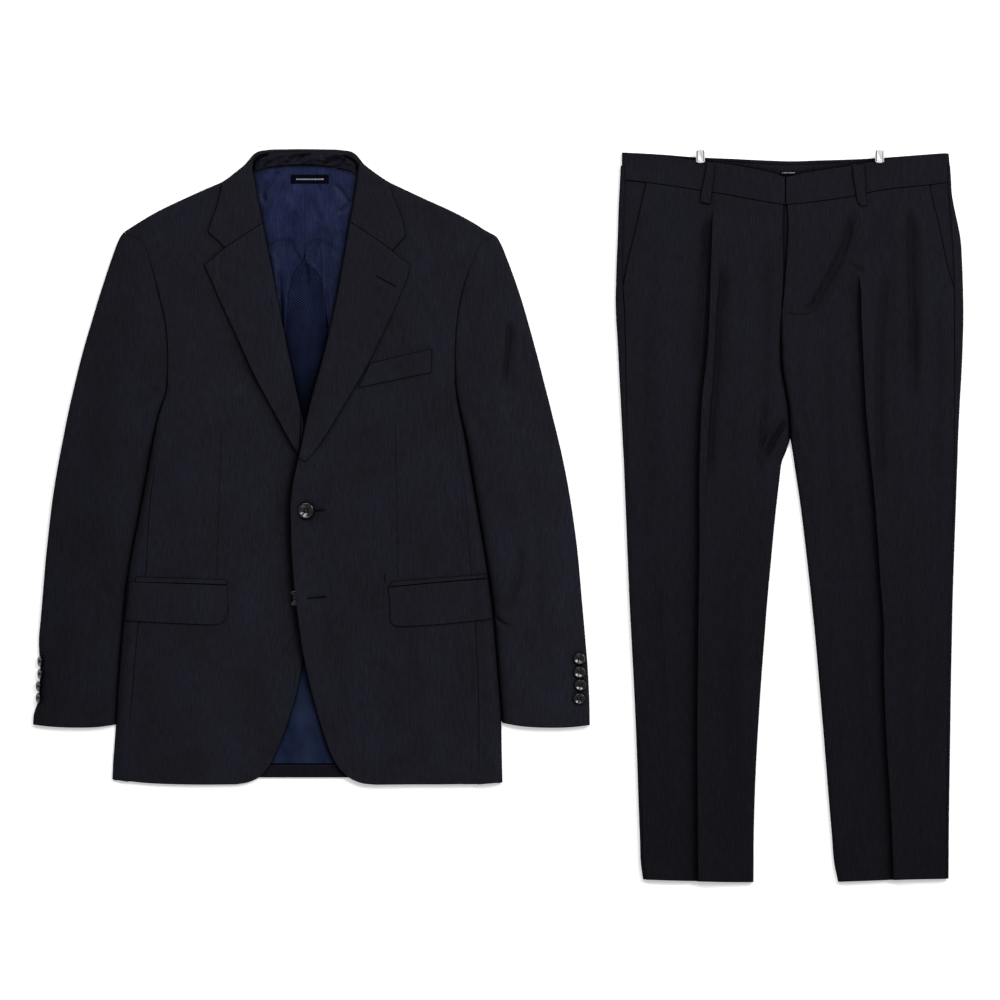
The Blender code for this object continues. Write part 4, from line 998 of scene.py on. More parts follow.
STAND_FOLDS = [
    Fold(2.5, 2.4, 2.0, 6, 10, [(268, 164), (276, 157), (288, 155)]),
    Fold(-2.5, 2.0, 2.4, 6, 8, [(284, 165), (292, 158), (306, 156)]),
    Fold(2.6, 2.2, 2.6, 8, 8, [(300, 164), (312, 159), (326, 157)]),
    Fold(-2.5, 2.0, 2.0, 4, 8, [(322, 165), (332, 160), (346, 160)]),
    Fold(2.1, 1.8, 2.0, 4, 6, [(258, 168), (262, 160), (270, 157)]),
    Fold(2.1, 2.0, 1.8, 4, 6, [(338, 167), (346, 163), (354, 165)]),
    Fold(-2.3, 1.6, 2.0, 3, 5, [(262, 169), (268, 163), (274, 162)]),
    Fold(2.0, 1.6, 1.8, 3, 5, [(278, 167), (284, 161), (292, 160)]),
    Fold(2.1, 1.5, 1.8, 3, 5, [(310, 165), (318, 160), (328, 162)]),
    Fold(-2.2, 1.8, 1.5, 3, 5, [(330, 169), (340, 165), (346, 158)]),
    Fold(-2.1, 1.5, 1.5, 3, 5, [(296, 162), (304, 156), (312, 155)]),
    Fold(2.0, 1.6, 1.6, 3, 5, [(324, 158), (336, 155), (346, 157)]),
    Fold(-2.8, 1.3, 1.3, 2, 4, [(253.4, 172), (254.6, 163), (260.4, 157.4), (270, 155)]),
    Fold(-2.8, 1.3, 1.3, 2, 4, [(357.6, 172), (356.0, 163.6), (349, 158.4), (340, 156)]),
]


def build_stand():
    inner = [(249.6, 165), (254.6, 157.4)] + CREST["right"][3:]
    inner += flipped(CREST["left"][2:])[1:] + [(357.4, 157.2), (362.0, 163)]
    edges = [
        Edge(0.8, 0.5, inner),
        Edge(0.8, 0.5, [inner[-1], STAND_SEAM[-1]]),
        Edge(0.9, 0.6, flipped(STAND_SEAM)),
        Edge(0.8, 0.5, [STAND_SEAM[0], inner[0]]),
    ]
    made = panel("stand_cloth", edges, stand_level, STAND_FOLDS, pitch=2.2, step=1.8)
    dress(made, SUITING, "collar_stand")


# How far an undersleeve lies under the body, and farther between two rows of the armhole.
UNDERLAP = 2.4
ARMHOLE_UNDERLAP = 9.0
ARMHOLE_ROWS = (300, 378)


def sleeve_depth(points):
    """How far a sleeve falls at its seam: little along the armhole, and most beside the body."""
    return 5.0 - 4.1 * rising(points, 430, 350) - 0.7 * crown(points)


def build_sleeves():
    for side in SIDES:
        away = 1 if side == "left" else -1
        beside = [(x + away * 0.5, y) for x, y in BODY_FOLD[side][3 : 12 if side == "right" else 11]]
        seam = ARMHOLE[side] + BODY_FOLD[side][1:3] + beside[:-1] + [CUFF_HEM[side][-1]]
        edges = [
            Edge(11.0, sleeve_depth, seam),
            Edge(1.3, 1.0, flipped(CUFF_HEM[side])),
            Edge(7.0, 4.2, flipped(SLEEVE_FOLD[side]), curl=6.0),
        ]
        made = panel(
            f"topsleeve_cloth_{side}", edges, sleeve_level(side), SLEEVE_FOLDS[side], rolling=UNEVEN,
        )
        dress(made, SUITING, f"topsleeve_{side}")
        tip = (seam[0][0] - away * 2.0, seam[0][1] - 0.2)
        pit = len(ARMHOLE[side]) - 1
        inner = [tip]
        for x, y in seam[1:pit] + [(seam[pit][0], 377.0)] + seam[pit:]:
            reach = ARMHOLE_UNDERLAP if ARMHOLE_ROWS[0] < y < ARMHOLE_ROWS[1] else UNDERLAP
            inner.append((x - away * reach, y))
        flat = [
            Edge(1.0, 0.5, inner),
            Edge(1.0, 0.5, flipped(CUFF_HEM[side])),
            Edge(1.0, 0.5, flipped(SLEEVE_FOLD[side][1:]) + [tip]),
        ]
        made = panel(f"undersleeve_cloth_{side}", flat, 1.1, thick=1.0, pitch=9, step=6, inset=0.6)
        dress(made, SUITING, f"undersleeve_{side}")


UNDER_TURNS = (-20, -40, -60, -80, -90)


def round_fold(turns, half, reach=FOLD):
    """Points round a folded edge, as (distance in, height), at turns in degrees above its middle."""
    return [(reach * (1 - math.cos(a)), half + half * math.sin(a)) for a in np.radians(turns)]


def side_panel(side):
    """The narrow upper leaf, the body's fold and the wider leaf on the floor."""
    fold = spline(plan(BODY_FOLD[side]), 3.0)
    seam = spline(plan(SIDE_SEAM[side]), 1.0)
    sign = 1 if side == "left" else -1
    top = FRONT_TOP[side]
    half = top / 2
    start = plan([(0, 381)])[0, 1]
    slant = seam[-1, 1] - fold[-1, 1]
    groove_at = seam_depth(side)
    rows = []
    for x, y in fold[fold[:, 1] < start]:
        seam_x = np.interp(-y, -seam[:, 1], seam[:, 0]) + sign * GAP / 2
        width = max(abs(x - seam_x), 1.2)
        small = min(1.0, width / 4)
        groove = float(groove_at(np.array([[x, y]]))[0])
        bend = float(np.clip(width - 1.0, FOLD, ROUND))
        path = [(width + 0.6, rounded(width, top, bend) - groove - 0.35)]
        for inward, share in ((0, 1), (0.3, 0.4), (0.9, 0.05)):
            d = width - inward * small
            path.append((d, rounded(d, top, bend) - groove * share))
        shares = (1 - np.linspace(0, 1, 14)) ** 2
        path += [(d, rounded(d, top, bend)) for d in (width - 1.6 * small) * shares]
        path += round_fold(UNDER_TURNS, half)
        path += [(d, 0.0) for d in (16, 30, 44, 52)]
        at = np.array([(x - sign * d, y) for d, z in path])
        soft = fold_relief(at, JACKET_FOLDS) + waves(at, UNEVEN)
        lean = slant * (1 - float(step_up(y, fold[-1, 1], fold[-1, 1] + 30)))
        rows.append([
            (*(p + (0, lean * min(d / width, 1))), z + r * max(0.0, (z - half) / half))
            for p, (d, z), r in zip(at, path, soft)
        ])
    last = np.array(rows[-1])
    rows.append([(p[0], p[1] - 0.8, max(p[2] - 0.5, 0.0)) for p in last])
    made = lattice(f"side_panel_cloth_{side}", rows, 1.8)
    dress(made, SUITING, f"side_panel_{side}")


def build_backs():
    hem_y = 777.6
    reach = 40.6  # how far in from the body's fold a back ends, under the side panel
    for side, sign in (("right", -1), ("left", 1)):
        fold = BODY_FOLD[side][2:]
        side_line = [(x - sign * reach, min(y, hem_y)) for x, y in fold]
        middle = CENTRE - sign * 0.6
        neck = (CENTRE + sign * 54, 167)
        edges = [
            Edge(1.5, 1.0, [(middle, 154), neck] + flipped(SHOULDER[side])[1:]),
            Edge(1.2, 0.7, ARMHOLE[side][:-1]),
            Edge(1.2, 0.7, [ARMHOLE[side][-2]] + side_line),
            Edge(1.0, 0.9, [side_line[-1], (middle, hem_y)]),
            Edge(1.2, 0.3, [(middle, hem_y), (middle, 154)]),
        ]
        top = BACK_LIES - (0.1 if sign < 0 else 0)
        made = panel(f"back_cloth_{side}", edges, top, thick=BACK_LIES - 0.2, pitch=12, step=6, inset=0.3)
        dress(made, SUITING, f"back_{side}")


# Lining: the yoke's lower seam from right to left, and the arch of the patterned centre below its point.
YOKE_SEAM = [(238, 256), (256, 249), (269, 244), (283, 238), (291.5, 239.6), (297, 249), (303, 261.6)]
YOKE_SEAM_LEFT = [
    (303, 261.6), (306.4, 248), (312.4, 235), (320.4, 237.6), (341, 249), (356, 256), (380, 268),
]
ARCH = {
    "right": [(302.2, 263), (295.4, 271), (290.8, 284), (288, 301), (286.2, 326), (284.4, 372), (283, 440)],
    "left": [(304.6, 263), (313, 268), (320, 277), (323.6, 294), (327, 317), (329.4, 350), (330, 440)],
}
LINING_FOLDS = [
    # below the collar on both sides
    Fold(-2.5, 3.0, 3.8, 4, 8, [(278.4, 170), (270.6, 182), (263.4, 192), (266, 205)]),
    Fold(1.2, 4.0, 4.0, 8, 14, [(286, 177), (277, 191), (273, 208)]),
    Fold(-2.5, 2.7, 3.0, 8, 6, [(333, 183), (342, 191.6), (350.4, 204)]),
    Fold(0.7, 4.4, 4.0, 10, 10, [(328, 190), (336, 199), (341, 207)]),
    Fold(-2.1, 2.6, 2.6, 6, 4, [(337, 214), (345, 208), (352, 200)]),
    Fold(-1.1, 2.2, 2.2, 3, 5, [(319.6, 184), (320.8, 194)]),
    Fold(0.9, 5.0, 4.0, 16, 16, [(292, 196), (289, 212), (284, 230)]),
    Fold(-1.4, 3.6, 4.4, 16, 16, [(312, 196), (316, 210), (324, 226)]),
    Fold(-0.5, 0.9, 0.9, 6, 10, [(304, 184), (304.2, 216), (304, 252)]),
    # the gathered point of the yoke, its curled fold and the pleat below it
    Fold(1.7, 2.4, 2.0, 3, 10, [(306.8, 262), (306.6, 249), (310.6, 240.4), (317, 237.4), (323, 240)]),
    Fold(-1.8, 2.8, 2.6, 4, 8, [(320, 242), (315, 248), (313, 257), (312.8, 268)]),
    Fold(-1.7, 2.0, 1.6, 3, 26, [(305.6, 263), (307.6, 272), (308.6, 281), (307.4, 296)]),
    Fold(0.9, 2.2, 2.6, 6, 20, [(302, 266), (302.4, 280), (301, 300)]),
    Fold(0.8, 3.0, 2.4, 10, 16, [(314, 276), (316, 300), (315, 330)]),
    Fold(-1.0, 3.6, 3.6, 16, 30, [(310, 290), (309, 330), (303, 380)]),
    # the side linings
    Fold(1.4, 4.0, 4.0, 10, 14, [(273, 250), (275, 270), (277.6, 294)]),
    Fold(-2.1, 2.6, 2.4, 18, 8, [(278.8, 266), (280.2, 288), (281.2, 306), (281.8, 332)]),
    Fold(1.1, 3.0, 2.6, 10, 10, [(287, 266), (286.6, 290), (285.4, 318)]),
    Fold(1.1, 1.6, 1.6, 6, 10, [(322, 245), (322.8, 266), (323.6, 292)]),
    Fold(1.0, 4.0, 4.0, 12, 14, [(335, 250), (332, 272), (330, 296)]),
    Fold(-1.9, 2.2, 2.2, 12, 8, [(326.6, 286), (327.6, 304), (328.2, 332)]),
]


HEM_LINING_FOLDS = [
    Fold(0.7, 5, 7, 14, 6, [(300, 690), (298, 724), (292, 763)]),
    Fold(-0.7, 6, 5, 14, 6, [(306, 700), (308, 730), (310, 763)]),
    Fold(0.6, 6, 4, 14, 6, [(314, 706), (320, 736), (326, 763)]),
    Fold(0.5, 4, 5, 6, 6, [(282, 748), (300, 752), (318, 745)]),
]


def lining_level(points):
    """The lining lies a little lower towards the closed front."""
    return LINING_TOP - 0.9 + 0.9 * rising(points, 430, 300)


def build_linings():
    top = [(240, 192), (245, 179)] + [(x, y - 1.7) for x, y in STAND_SEAM] + [(368, 190)]
    edges = [
        Edge(0.8, 0.5, top),
        Edge(0.8, 0.5, [top[-1], YOKE_SEAM_LEFT[-1]]),
        Edge(1.1, 0.45, flipped(YOKE_SEAM_LEFT)),
        Edge(1.1, 0.45, flipped(YOKE_SEAM)),
        Edge(0.8, 0.5, [YOKE_SEAM[0], top[0]]),
    ]
    made = panel("yoke_cloth", edges, 4.1, LINING_FOLDS, **LINING_CLOTH)
    dress(made, SATIN, "lining_yoke")
    for side, near, x in (("right", YOKE_SEAM, 232), ("left", flipped(YOKE_SEAM_LEFT), 386)):
        arch = ARCH[side]
        point = (arch[0][0], 262)
        edges = [
            Edge(0.9, 0.3, [(x, y - 1.2) for x, y in near[:-1]] + [point]),
            Edge(1.0, 0.5, [point] + arch[1:]),
            Edge(0.9, 0.5, [arch[-1], (x, 440)]),
            Edge(0.9, 0.5, [(x, 440), (near[0][0], near[0][1] - 1.2)]),
        ]
        made = panel(
            f"lining_side_cloth_{side}", edges, lining_level, LINING_FOLDS, **LINING_CLOTH
        )
        dress(made, SATIN, f"lining_side_{side}")
    apex = [(301.4, 256), (305.6, 256)]
    arch = [apex[0]] + [(x - 0.9, y) for x, y in ARCH["right"][1:-1]]
    arch += [(284, 400), (262, 450), (180, 500), (160, 763.7)]
    other = [apex[1]] + [(x + 0.9, y) for x, y in ARCH["left"][1:-1]]
    other += [(330, 400), (350, 450), (436, 500), (452, 763.7)]
    edges = [
        Edge(2.0, 0.9, flipped(arch[:6])),
        Edge(0.9, 0.7, [arch[0], other[0]]),
        Edge(2.0, 0.9, other[:6]),
        Edge(0.9, 0.5, other[5:]),
        Edge(1.0, 0.8, [other[-1], arch[-1]]),
        Edge(0.9, 0.5, flipped(arch[5:])),
    ]
    made = panel(
        "lining_centre_cloth", edges, 3.4, LINING_FOLDS + HEM_LINING_FOLDS, thick=SILK, pitch=3.0, step=2.4,
    )
    dress(made, PATTERNED, "lining_centre")
    edges = [
        Edge(1.0, 0.8, [(160, 764.2), (452, 764.2)]),
        Edge(0.8, 0.5, [(452, 764.2), (452, 777.4)]),
        Edge(1.0, 0.9, [(452, 777.4), (160, 777.4)]),
        Edge(0.8, 0.5, [(160, 777.4), (160, 764.2)]),
    ]
    made = panel("hem_facing_cloth", edges, LINING_TOP, thick=1.2, pitch=3.6)
    dress(made, SHADED_FACING_CLOTH, "hem_facing")


def flap_level(side):
    """A flap's height: it follows the body over its outer fold."""
    fold = spline(plan(BODY_FOLD[side]), 4.0)
    top = FRONT_TOP[side]

    def level(points):
        body = rounded(nearest(points, fold)[0], top)
        relief = fold_relief(points, DRAPE) + waves(points, UNEVEN)
        return body + POCKET_TOP[side] - top - relief * (2 - 2 * body / top)

    return level


def corner(low, turn, high, side):
    """A flap's front edge from its lower point round the rounded corner and up."""
    sign = 1 if side == "right" else -1
    return [low, (low[0] + sign * 7.5, low[1] - 1.4), (low[0] + sign * 11.6, low[1] - 5.6), turn, high]


JETS = {
    "right": [(227.2, 579.8), (182, 578.4), (136.4, 577.0), (136.0, 582.0), (182, 583.2), (227.2, 584.6)],
    "left": [(392.0, 581.6), (438, 578.0), (484.4, 574.4), (485.8, 578.2), (438, 582.2), (389.0, 586.8)],
}
WELT = [(370.2, 363.7), (401, 356.4), (431.8, 349.4), (431.2, 372.8), (395, 380.2), (358.6, 388.0)]
STRIP_TURNS = (0, 2, 3, 5)  # which points of a jet or the welt are its corners
FLAP_FRONT_RIM = {"right": (3.6, 1.3), "left": (1.1, 0.9)}


def build_pockets():
    for side in SIDES:
        edges = edges_round(JETS[side], 0.9, 0.7, STRIP_TURNS)
        made = panel(
            f"pocket_jet_cloth_{side}", edges, POCKET_TOP[
                side
            ], DRAPE, thick=TRIM, pitch=2.0, step=1.8, rolling=UNEVEN
        )
        dress(made, SUITING, f"pocket_jet_{side}")
        flap = FLAPS[side]
        edges = [
            Edge(1.0, 0.8, flap[:3]),
            Edge(1.1, 0.8, flap[2:5]),
            Edge(1.1, 0.9, flap[4:7]),
            Edge(*FLAP_FRONT_RIM[side], corner(flap[6], flap[7], flap[0], side)),
        ]
        made = panel(
            f"pocket_flap_cloth_{side}", edges, flap_level(
                side
            ), DRAPE, **FLAP_CLOTH,
        )
        dress(made, SUITING, f"pocket_flap_{side}")
    edges = edges_round(WELT, 1.0, 0.8, STRIP_TURNS)
    made = panel(
        "breast_welt_cloth", edges, POCKET_TOP[
            "left"
        ], DRAPE, **FLAP_CLOTH,
    )
    dress(made, SUITING, "breast_welt")


# ------------------------------------------------------------------------------------------- small parts


def capsule(start, end, radius, height, sides=6):
    """Points and faces of a stitch: a small rounded bar that bows up between its ends."""
    start, end = np.array(start, float), np.array(end, float)
    run = end - start
    length = max(np.linalg.norm(run), 1e-6)
    ahead = run / length
    across = np.array([-ahead[1], ahead[0]])
    points, faces = [], []
    shares = (0.0, 0.12, 0.5, 0.88, 1.0)
    sizes = (0.35, 0.85, 1.0, 0.85, 0.35)
    for share, size in zip(shares, sizes):
        middle = start + run * share
        lift = height + radius * (size - 0.6)
        for k in range(sides):
            turn = 2 * math.pi * k / sides
            side = across * radius * size * math.cos(turn)
            points.append((middle[0] + side[0], middle[1] + side[1], lift + radius * size * math.sin(turn)))
    for ring in range(len(shares) - 1):
        for k in range(sides):
            a, b = ring * sides + k, ring * sides + (k + 1) % sides
            faces.append((a, b, b + sides))
            faces.append((a, b + sides, a + sides))
    for k in range(1, sides - 1):
        faces.append((0, k + 1, k))
        base = (len(shares) - 1) * sides
        faces.append((base, base + k, base + k + 1))
    return points, faces


def joined(name, parts, material):
    points, faces, base = [], [], 0
    for part_points, part_faces in parts:
        points += list(part_points)
        faces += [tuple(k + base for k in face) for face in part_faces]
        base = len(points)
    return dress(mesh_object(name, points, faces, sharp=60), material)


def stitches(name, path, length, space, radius, height, material, across=0.0):
    """A row of stitches along a path. height is a number or a function of a plan point."""
    line = spline(plan(path), 0.5)
    runs = np.concatenate([[0], np.cumsum(np.linalg.norm(np.diff(line, axis=0), axis=1))])
    parts = []
    at = 0.0
    while at + length < runs[-1]:
        a = np.array([np.interp(at, runs, line[:, k]) for k in (0, 1)])
        b = np.array([np.interp(at + length, runs, line[:, k]) for k in (0, 1)])
        if across:
            ahead = (b - a) / np.linalg.norm(b - a)
            side = np.array([-ahead[1], ahead[0]]) * across / 2
            middle = (a + b) / 2
            a, b = middle - side, middle + side
        z = height(((a + b) / 2)[None])[0] if callable(height) else height
        parts.append(capsule(a, b, radius, z))
        at += length + space
    return joined(name, parts, material)


def jacket_height(base, folds=DRAPE):
    """A function that gives the height of the jacket's cloth."""

    def height(points):
        return base + fold_relief(points, folds) + waves(points, UNEVEN)

    return height


BUTTON_RIM = [
    (0.0, 0.42), (0.30, 0.44), (0.42, 0.54), (0.62, 0.76), (0.78, 0.95), (0.86, 1.0), (0.94, 0.90),
    (1.0, 0.55),
]


def button_mesh(radius, deep, sides=56):
    """A dished button with four holes: upper face, rim and flat underside."""
    reaches, rises = zip(*BUTTON_RIM)
    hole, spread = 0.105 * radius, 0.20 * radius
    holes = [(spread * sx, spread * sy) for sx in (-1, 1) for sy in (-1, 1)]
    points = [(0.0, 0.0, deep * 0.52)]
    radii = list(np.linspace(0.04, 0.5, 13)) + [0.57, 0.64, 0.70, 0.76, 0.81, 0.86, 0.90, 0.94, 0.975, 1.0]
    for share in radii:
        r = share * radius
        for k in range(sides):
            turn = 2 * math.pi * k / sides
            x, y = r * math.cos(turn), r * math.sin(turn)
            z = deep * float(np.interp(share, reaches, rises))
            near = min(math.hypot(x - hx, y - hy) for hx, hy in holes)
            z -= 0.34 * deep * (1 - float(step_up(near, hole * 0.7, hole * 1.25)))
            points.append((x, y, z))
    faces = [(0, 1 + k, 1 + (k + 1) % sides) for k in range(sides)]
    for ring in range(len(radii) - 1):
        for k in range(sides):
            a, b = 1 + ring * sides + k, 1 + ring * sides + (k + 1) % sides
            faces.append((a, a + sides, b + sides, b))
    last = 1 + (len(radii) - 1) * sides
    base = len(points)
    for k in range(sides):
        turn = 2 * math.pi * k / sides
        points.append((0.88 * radius * math.cos(turn), 0.88 * radius * math.sin(turn), 0.12 * deep))
    for k in range(sides):
        after = (k + 1) % sides
        faces.append((last + k, base + k, base + after, last + after))
    faces.append(tuple(base + k for k in range(sides - 1, -1, -1)))
    return np.array(points), faces


def place_button(name, at, radius, deep, low, node_name, tilt=0.0, lean=0.0, threads=True):
    """A button with its thread, set at a plan point."""
    points, faces = button_mesh(radius, deep)
    centre = plan([at])[0]

    def placed(p):
        p = np.asarray(p, float)
        c, s = math.cos(tilt), math.sin(tilt)
        x, z = p[:, 0] * c - p[:, 2] * s, p[:, 0] * s + p[:, 2] * c
        cl, sl = math.cos(lean), math.sin(lean)
        y, z = p[:, 1] * cl - z * sl, p[:, 1] * sl + z * cl
        return np.column_stack([x + centre[0], y + centre[1], z + low])

    made = mesh_object(name, placed(points), faces, sharp=60)
    dress(made, BUTTON, node_name)
    if threads:
        spread = 0.20 * radius
        parts = []
        for sx in (-1, 1):
            p, f = capsule((spread * sx, -spread), (spread * sx, spread), 0.055 * radius, 0.50 * deep)
            parts.append((placed(p), f))
        joined(name + "_thread", parts, THREAD)


def build_buttons():
    upper, lower = (306.4, 510.6), (294.0, 598.2)
    seat = jacket_height(FRONT_TOP["left"] + 0.9, LEFT_FOLDS)(plan([upper]))[0]
    place_button("front_button_top", upper, 10.6, 4.0, seat, "front_button_upper", lean=0.02, tilt=0.10)
    seat = jacket_height(FRONT_TOP["right"] + 0.1, DRAPE + UNDER_EDGE_DIP)(plan([lower]))[0]
    place_button(
        "front_button_low", lower, 10.0, 2.0, seat - 0.8, "front_button_lower", tilt=0.20, threads=False,
    )
    for number, at in enumerate([(579.2, 658.4), (579.4, 672.0), (580.2, 684.8), (579.0, 698.4)], 1):
        low = SLEEVE_TOP + 0.35
        place_button(
            f"cuff_button_left_{number}_dressed", at, 7.5, 3.0, low, f"cuff_button_left_{number}",
            tilt=0.03, lean=-0.06 + 0.04 * number,
        )
    for number, y in enumerate([661.2, 673.7, 685.9, 697.8], 1):
        edge = 41.2 if number < 3 else 39.6
        place_button(
            f"cuff_button_right_{number}_dressed", (edge, y), 6.9, 2.4, 6.4, f"cuff_button_right_{number}",
            tilt=math.radians(64),
        )


def buttonhole(name, path, height, width=2.6):
    """A buttonhole: close whipped threads across it and the dark slit between. height is a function."""
    stitches(name + "_whip", path, 0.55, 0.22, 0.32, height, THREAD, across=width)
    stitches(name + "_slit", path, 2.4, -0.6, 0.19, lambda points: height(points) + 0.28, HOLE)


def build_stitching():
    on_left = jacket_height(FRONT_TOP["left"] + 0.1, LEFT_FOLDS)
    buttonhole(
        "buttonhole_top", [(314.0, 510.8), (325.4, 509.8)],
        jacket_height(FRONT_TOP["left"] + 0.5, LEFT_FOLDS),
    )
    buttonhole("buttonhole_low", [(307.6, 598.0), (327.2, 596.6)], on_left)
    buttonhole(
        "lapel_buttonhole", [(376.2, 276.2), (396.6, 287.2)], jacket_height(LAPEL_TOP["left"] + 0.05), 2.0,
    )
    stitches("pocket_tack", [(384.6, 574.4), (384.9, 583.2)], 0.5, 0.25, 0.3, on_left, THREAD, across=1.1)
    stitches(
        "lining_pick_stitch",
        [(258, 174), (266.4, 170.6), (279, 168.4), (293, 167.4), (315, 167.4), (334, 169.8), (350, 174)],
        1.6, 2.0, 0.26, 4.25, THREAD,
    )
    stitches(
        "centre_seam_stitch", [(305.2, 186), (305.4, 216), (305.0, 256)], 1.2, 2.4, 0.16, 4.16, BLUE_THREAD,
    )
    stitches(
        "yoke_seam_stitch_right", [(268, 245.6), (283, 239.8), (290.4, 241.2), (296, 250.6), (301.6, 261)],
        1.5, 1.2, 0.2, 4.0, HOLE,
    )
    stitches(
        "yoke_seam_stitch_left", [(306.6, 259), (309.4, 247), (313.6, 238.4), (321, 240.6), (340, 251.4)],
        1.5, 1.2, 0.24, 3.9, HOLE,
    )
    stitches(
        "hem_facing_stitch", [(262, 765.6), (350, 765.6)], 1.8, 3.4, 0.22, LINING_TOP + 0.02, BLUE_THREAD,
    )


def build_labels():
    """The two bare labels, each with a plain pale bar in the place of its lettering."""
    cloth = box_edges(291.0, 175.0, 328.8, 183.8, 0.6, 0.4)
    dress(panel("neck_label_cloth", cloth, 5.0, **LABEL_CLOTH), LABEL, "neck_label")
    bar = box_edges(296.0, 178.7, 324.0, 180.3, 0.3, 0.1)
    dress(panel("neck_label_woven_bar", bar, 5.12, **BAR_CLOTH), LABEL_BAR)
    cloth = box_edges(780.2, 171.6, 796.2, 175.4, 0.5, 0.3)
    dress(panel("waistband_label_cloth", cloth, 3.6, **LABEL_CLOTH), LABEL, "waistband_label")
    bar = box_edges(781.6, 172.4, 795.0, 173.6, 0.3, 0.1)
    dress(panel("waistband_label_bar", bar, 3.72, **BAR_CLOTH), LABEL_BAR)


# ------------------------------------------------------------------------------------------- trousers

WAIST_SEAM = {
    "right": [
        (621.9, 180), (645, 182.8), (672, 186.4), (699, 190.8), (715.7, 193.2), (751.7, 199.8),
        (783.4, 205.2),
    ],
    "left": [
        (950.8, 182.4), (928.3, 185.3), (901.7, 188.0), (873.7, 192), (855, 196.2), (815, 202),
        (786.4, 205.2),
    ],
}
WAIST_TOP = {
    "right": [
        (621.7, 152.6), (657, 155.0), (696.5, 160.9), (725, 164.2), (751.7, 168.8), (773, 173.2),
        (784.2, 177.4),
    ],
    "left": [
        (948.6, 153.4), (931, 154.6), (901, 157.6), (875, 161.6), (851, 166), (828.3, 169.4),
        (801.7, 173.6),
        (785.8, 177.8),
    ],
}
WAIST_BACK_TOP = [
    (624, 152.4), (657, 154.2), (696, 157.2), (733, 158.8), (769, 160.5), (790, 161.2), (817, 160.4),
    (850, 159.4), (887, 157.4), (918, 155.0), (945.6, 153.0),
]
MOUTH = {
    "right": [(645.9, 182.9), (640, 209), (633.7, 237), (627.9, 260), (622.7, 287)],
    "left": [(929.4, 185.2), (931.4, 197), (936.4, 217), (941.7, 240), (946.9, 266), (953.8, 289)],
}
LEG_SIDE_TOP = {
    "right": [(624.6, 180.4), (623.6, 206), (622.4, 240), (621.9, 265), (622.7, 287)],
    "left": [(947.4, 182.6), (949.6, 210), (951.2, 233), (953.0, 260), (953.8, 289)],
}
LEG_SIDE = {
    "right": [
        (622.7, 287), (624.4, 311), (625.1, 335), (625.6, 360), (626.4, 400), (627.0, 440), (627.4, 480),
        (629.0, 520), (630.6, 560), (632.2, 600), (634.4, 640), (636.6, 680), (638.4, 720), (639.9, 760),
        (641.6, 805), (643.9, 865), (646, 879.4),
    ],
    "left": [
        (953.8, 289), (954.0, 310), (953.8, 344), (953.6, 400), (953.4, 440), (953.0, 480), (951.9, 520),
        (950.3, 560), (949.2, 600), (948.2, 640), (947.4, 680), (946.9, 720), (946.3, 760), (945.7, 805),
        (945.2, 865), (945, 878.6),
    ],
}
LEG_FOLD = {
    "right": [
        (620.6, 166), (619.9, 180), (619.2, 194), (618.6, 206), (618.0, 224), (617.5, 240), (616.6, 260),
        (616, 280), (615.5, 300), (616.1, 320), (617.4, 340), (618.4, 360), (619.4, 380), (620.5, 400),
        (621.5, 420), (622.5, 440), (623.6, 460), (624.4, 480), (625.2, 500), (626, 520), (627.6, 560),
        (629.3, 600), (631.4, 640), (633.5, 680), (635.4, 720), (637, 760), (638.5, 805), (639.7, 835),
        (640.9, 865), (642.9, 879),
    ],
    "left": [
        (949.8, 166), (950.8, 180), (951.6, 194), (953.6, 206), (957.5, 224), (960.4, 240), (961.7, 260),
        (962.5, 280), (963, 300), (963.1, 320), (962.6, 340), (961.9, 360), (960.9, 380), (959.7, 400),
        (958.7, 420), (957.8, 440), (957.2, 460), (956.5, 480), (955.8, 500), (955.1, 520), (953.7, 560),
        (952.4, 600), (951.6, 640), (950.8, 680), (950.2, 720), (949.6, 760), (948.9, 805), (948.6, 835),
        (948.4, 865), (948.3, 878.2),
    ],
}
FLY = {
    "right": [
        (783.4, 205.2), (783.2, 226), (782.7, 242), (783.3, 259), (783.2, 275), (782.6, 292), (781.4, 308),
    ],
    "left": [
        (786.4, 205.2), (787.6, 224), (786.9, 242), (785.8, 259), (784.6, 275), (783.3, 292), (781.9, 308),
    ],
}
# The seam below the fly, down to the crotch.
SEAT = {
    "right": [
        (781.4, 308), (780.5, 322), (780.3, 344), (781.4, 369), (784.9, 390), (787.5, 405), (789.6, 441),
    ],
    "left": [
        (781.9, 308), (781.1, 322), (780.9, 344), (782, 369), (785.5, 390), (788.1, 405), (790.4, 441),
    ],
}
INSEAM = {
    "right": [
        (789.6, 441), (787.6, 447), (785.4, 453), (782.4, 460), (779.4, 480), (777, 500), (774.8, 520),
        (771, 560), (767.3, 600), (764.2, 640), (761.2, 680), (758.6, 720), (756.3, 760), (754.5, 805),
        (753.8, 835), (753.6, 865), (753.5, 882.0),
    ],
    "left": [
        (790.4, 441), (791.4, 447), (792.4, 453), (793.4, 460), (796.4, 480), (799.4, 500), (802, 520),
        (806.7, 560), (811.1, 600), (815.1, 640), (818.6, 680), (822, 720), (825.3, 760), (828.9, 805),
        (831.5, 835), (834.2, 865), (837.8, 881.6),
    ],
}
LEG_HEM = {
    "right": [(753.5, 882.0), (725, 881.8), (698, 881.0), (670, 880.2), (646, 879.4)],
    "left": [(837.8, 881.6), (866, 880.6), (894, 879.6), (920, 879.0), (945, 878.6)],
}
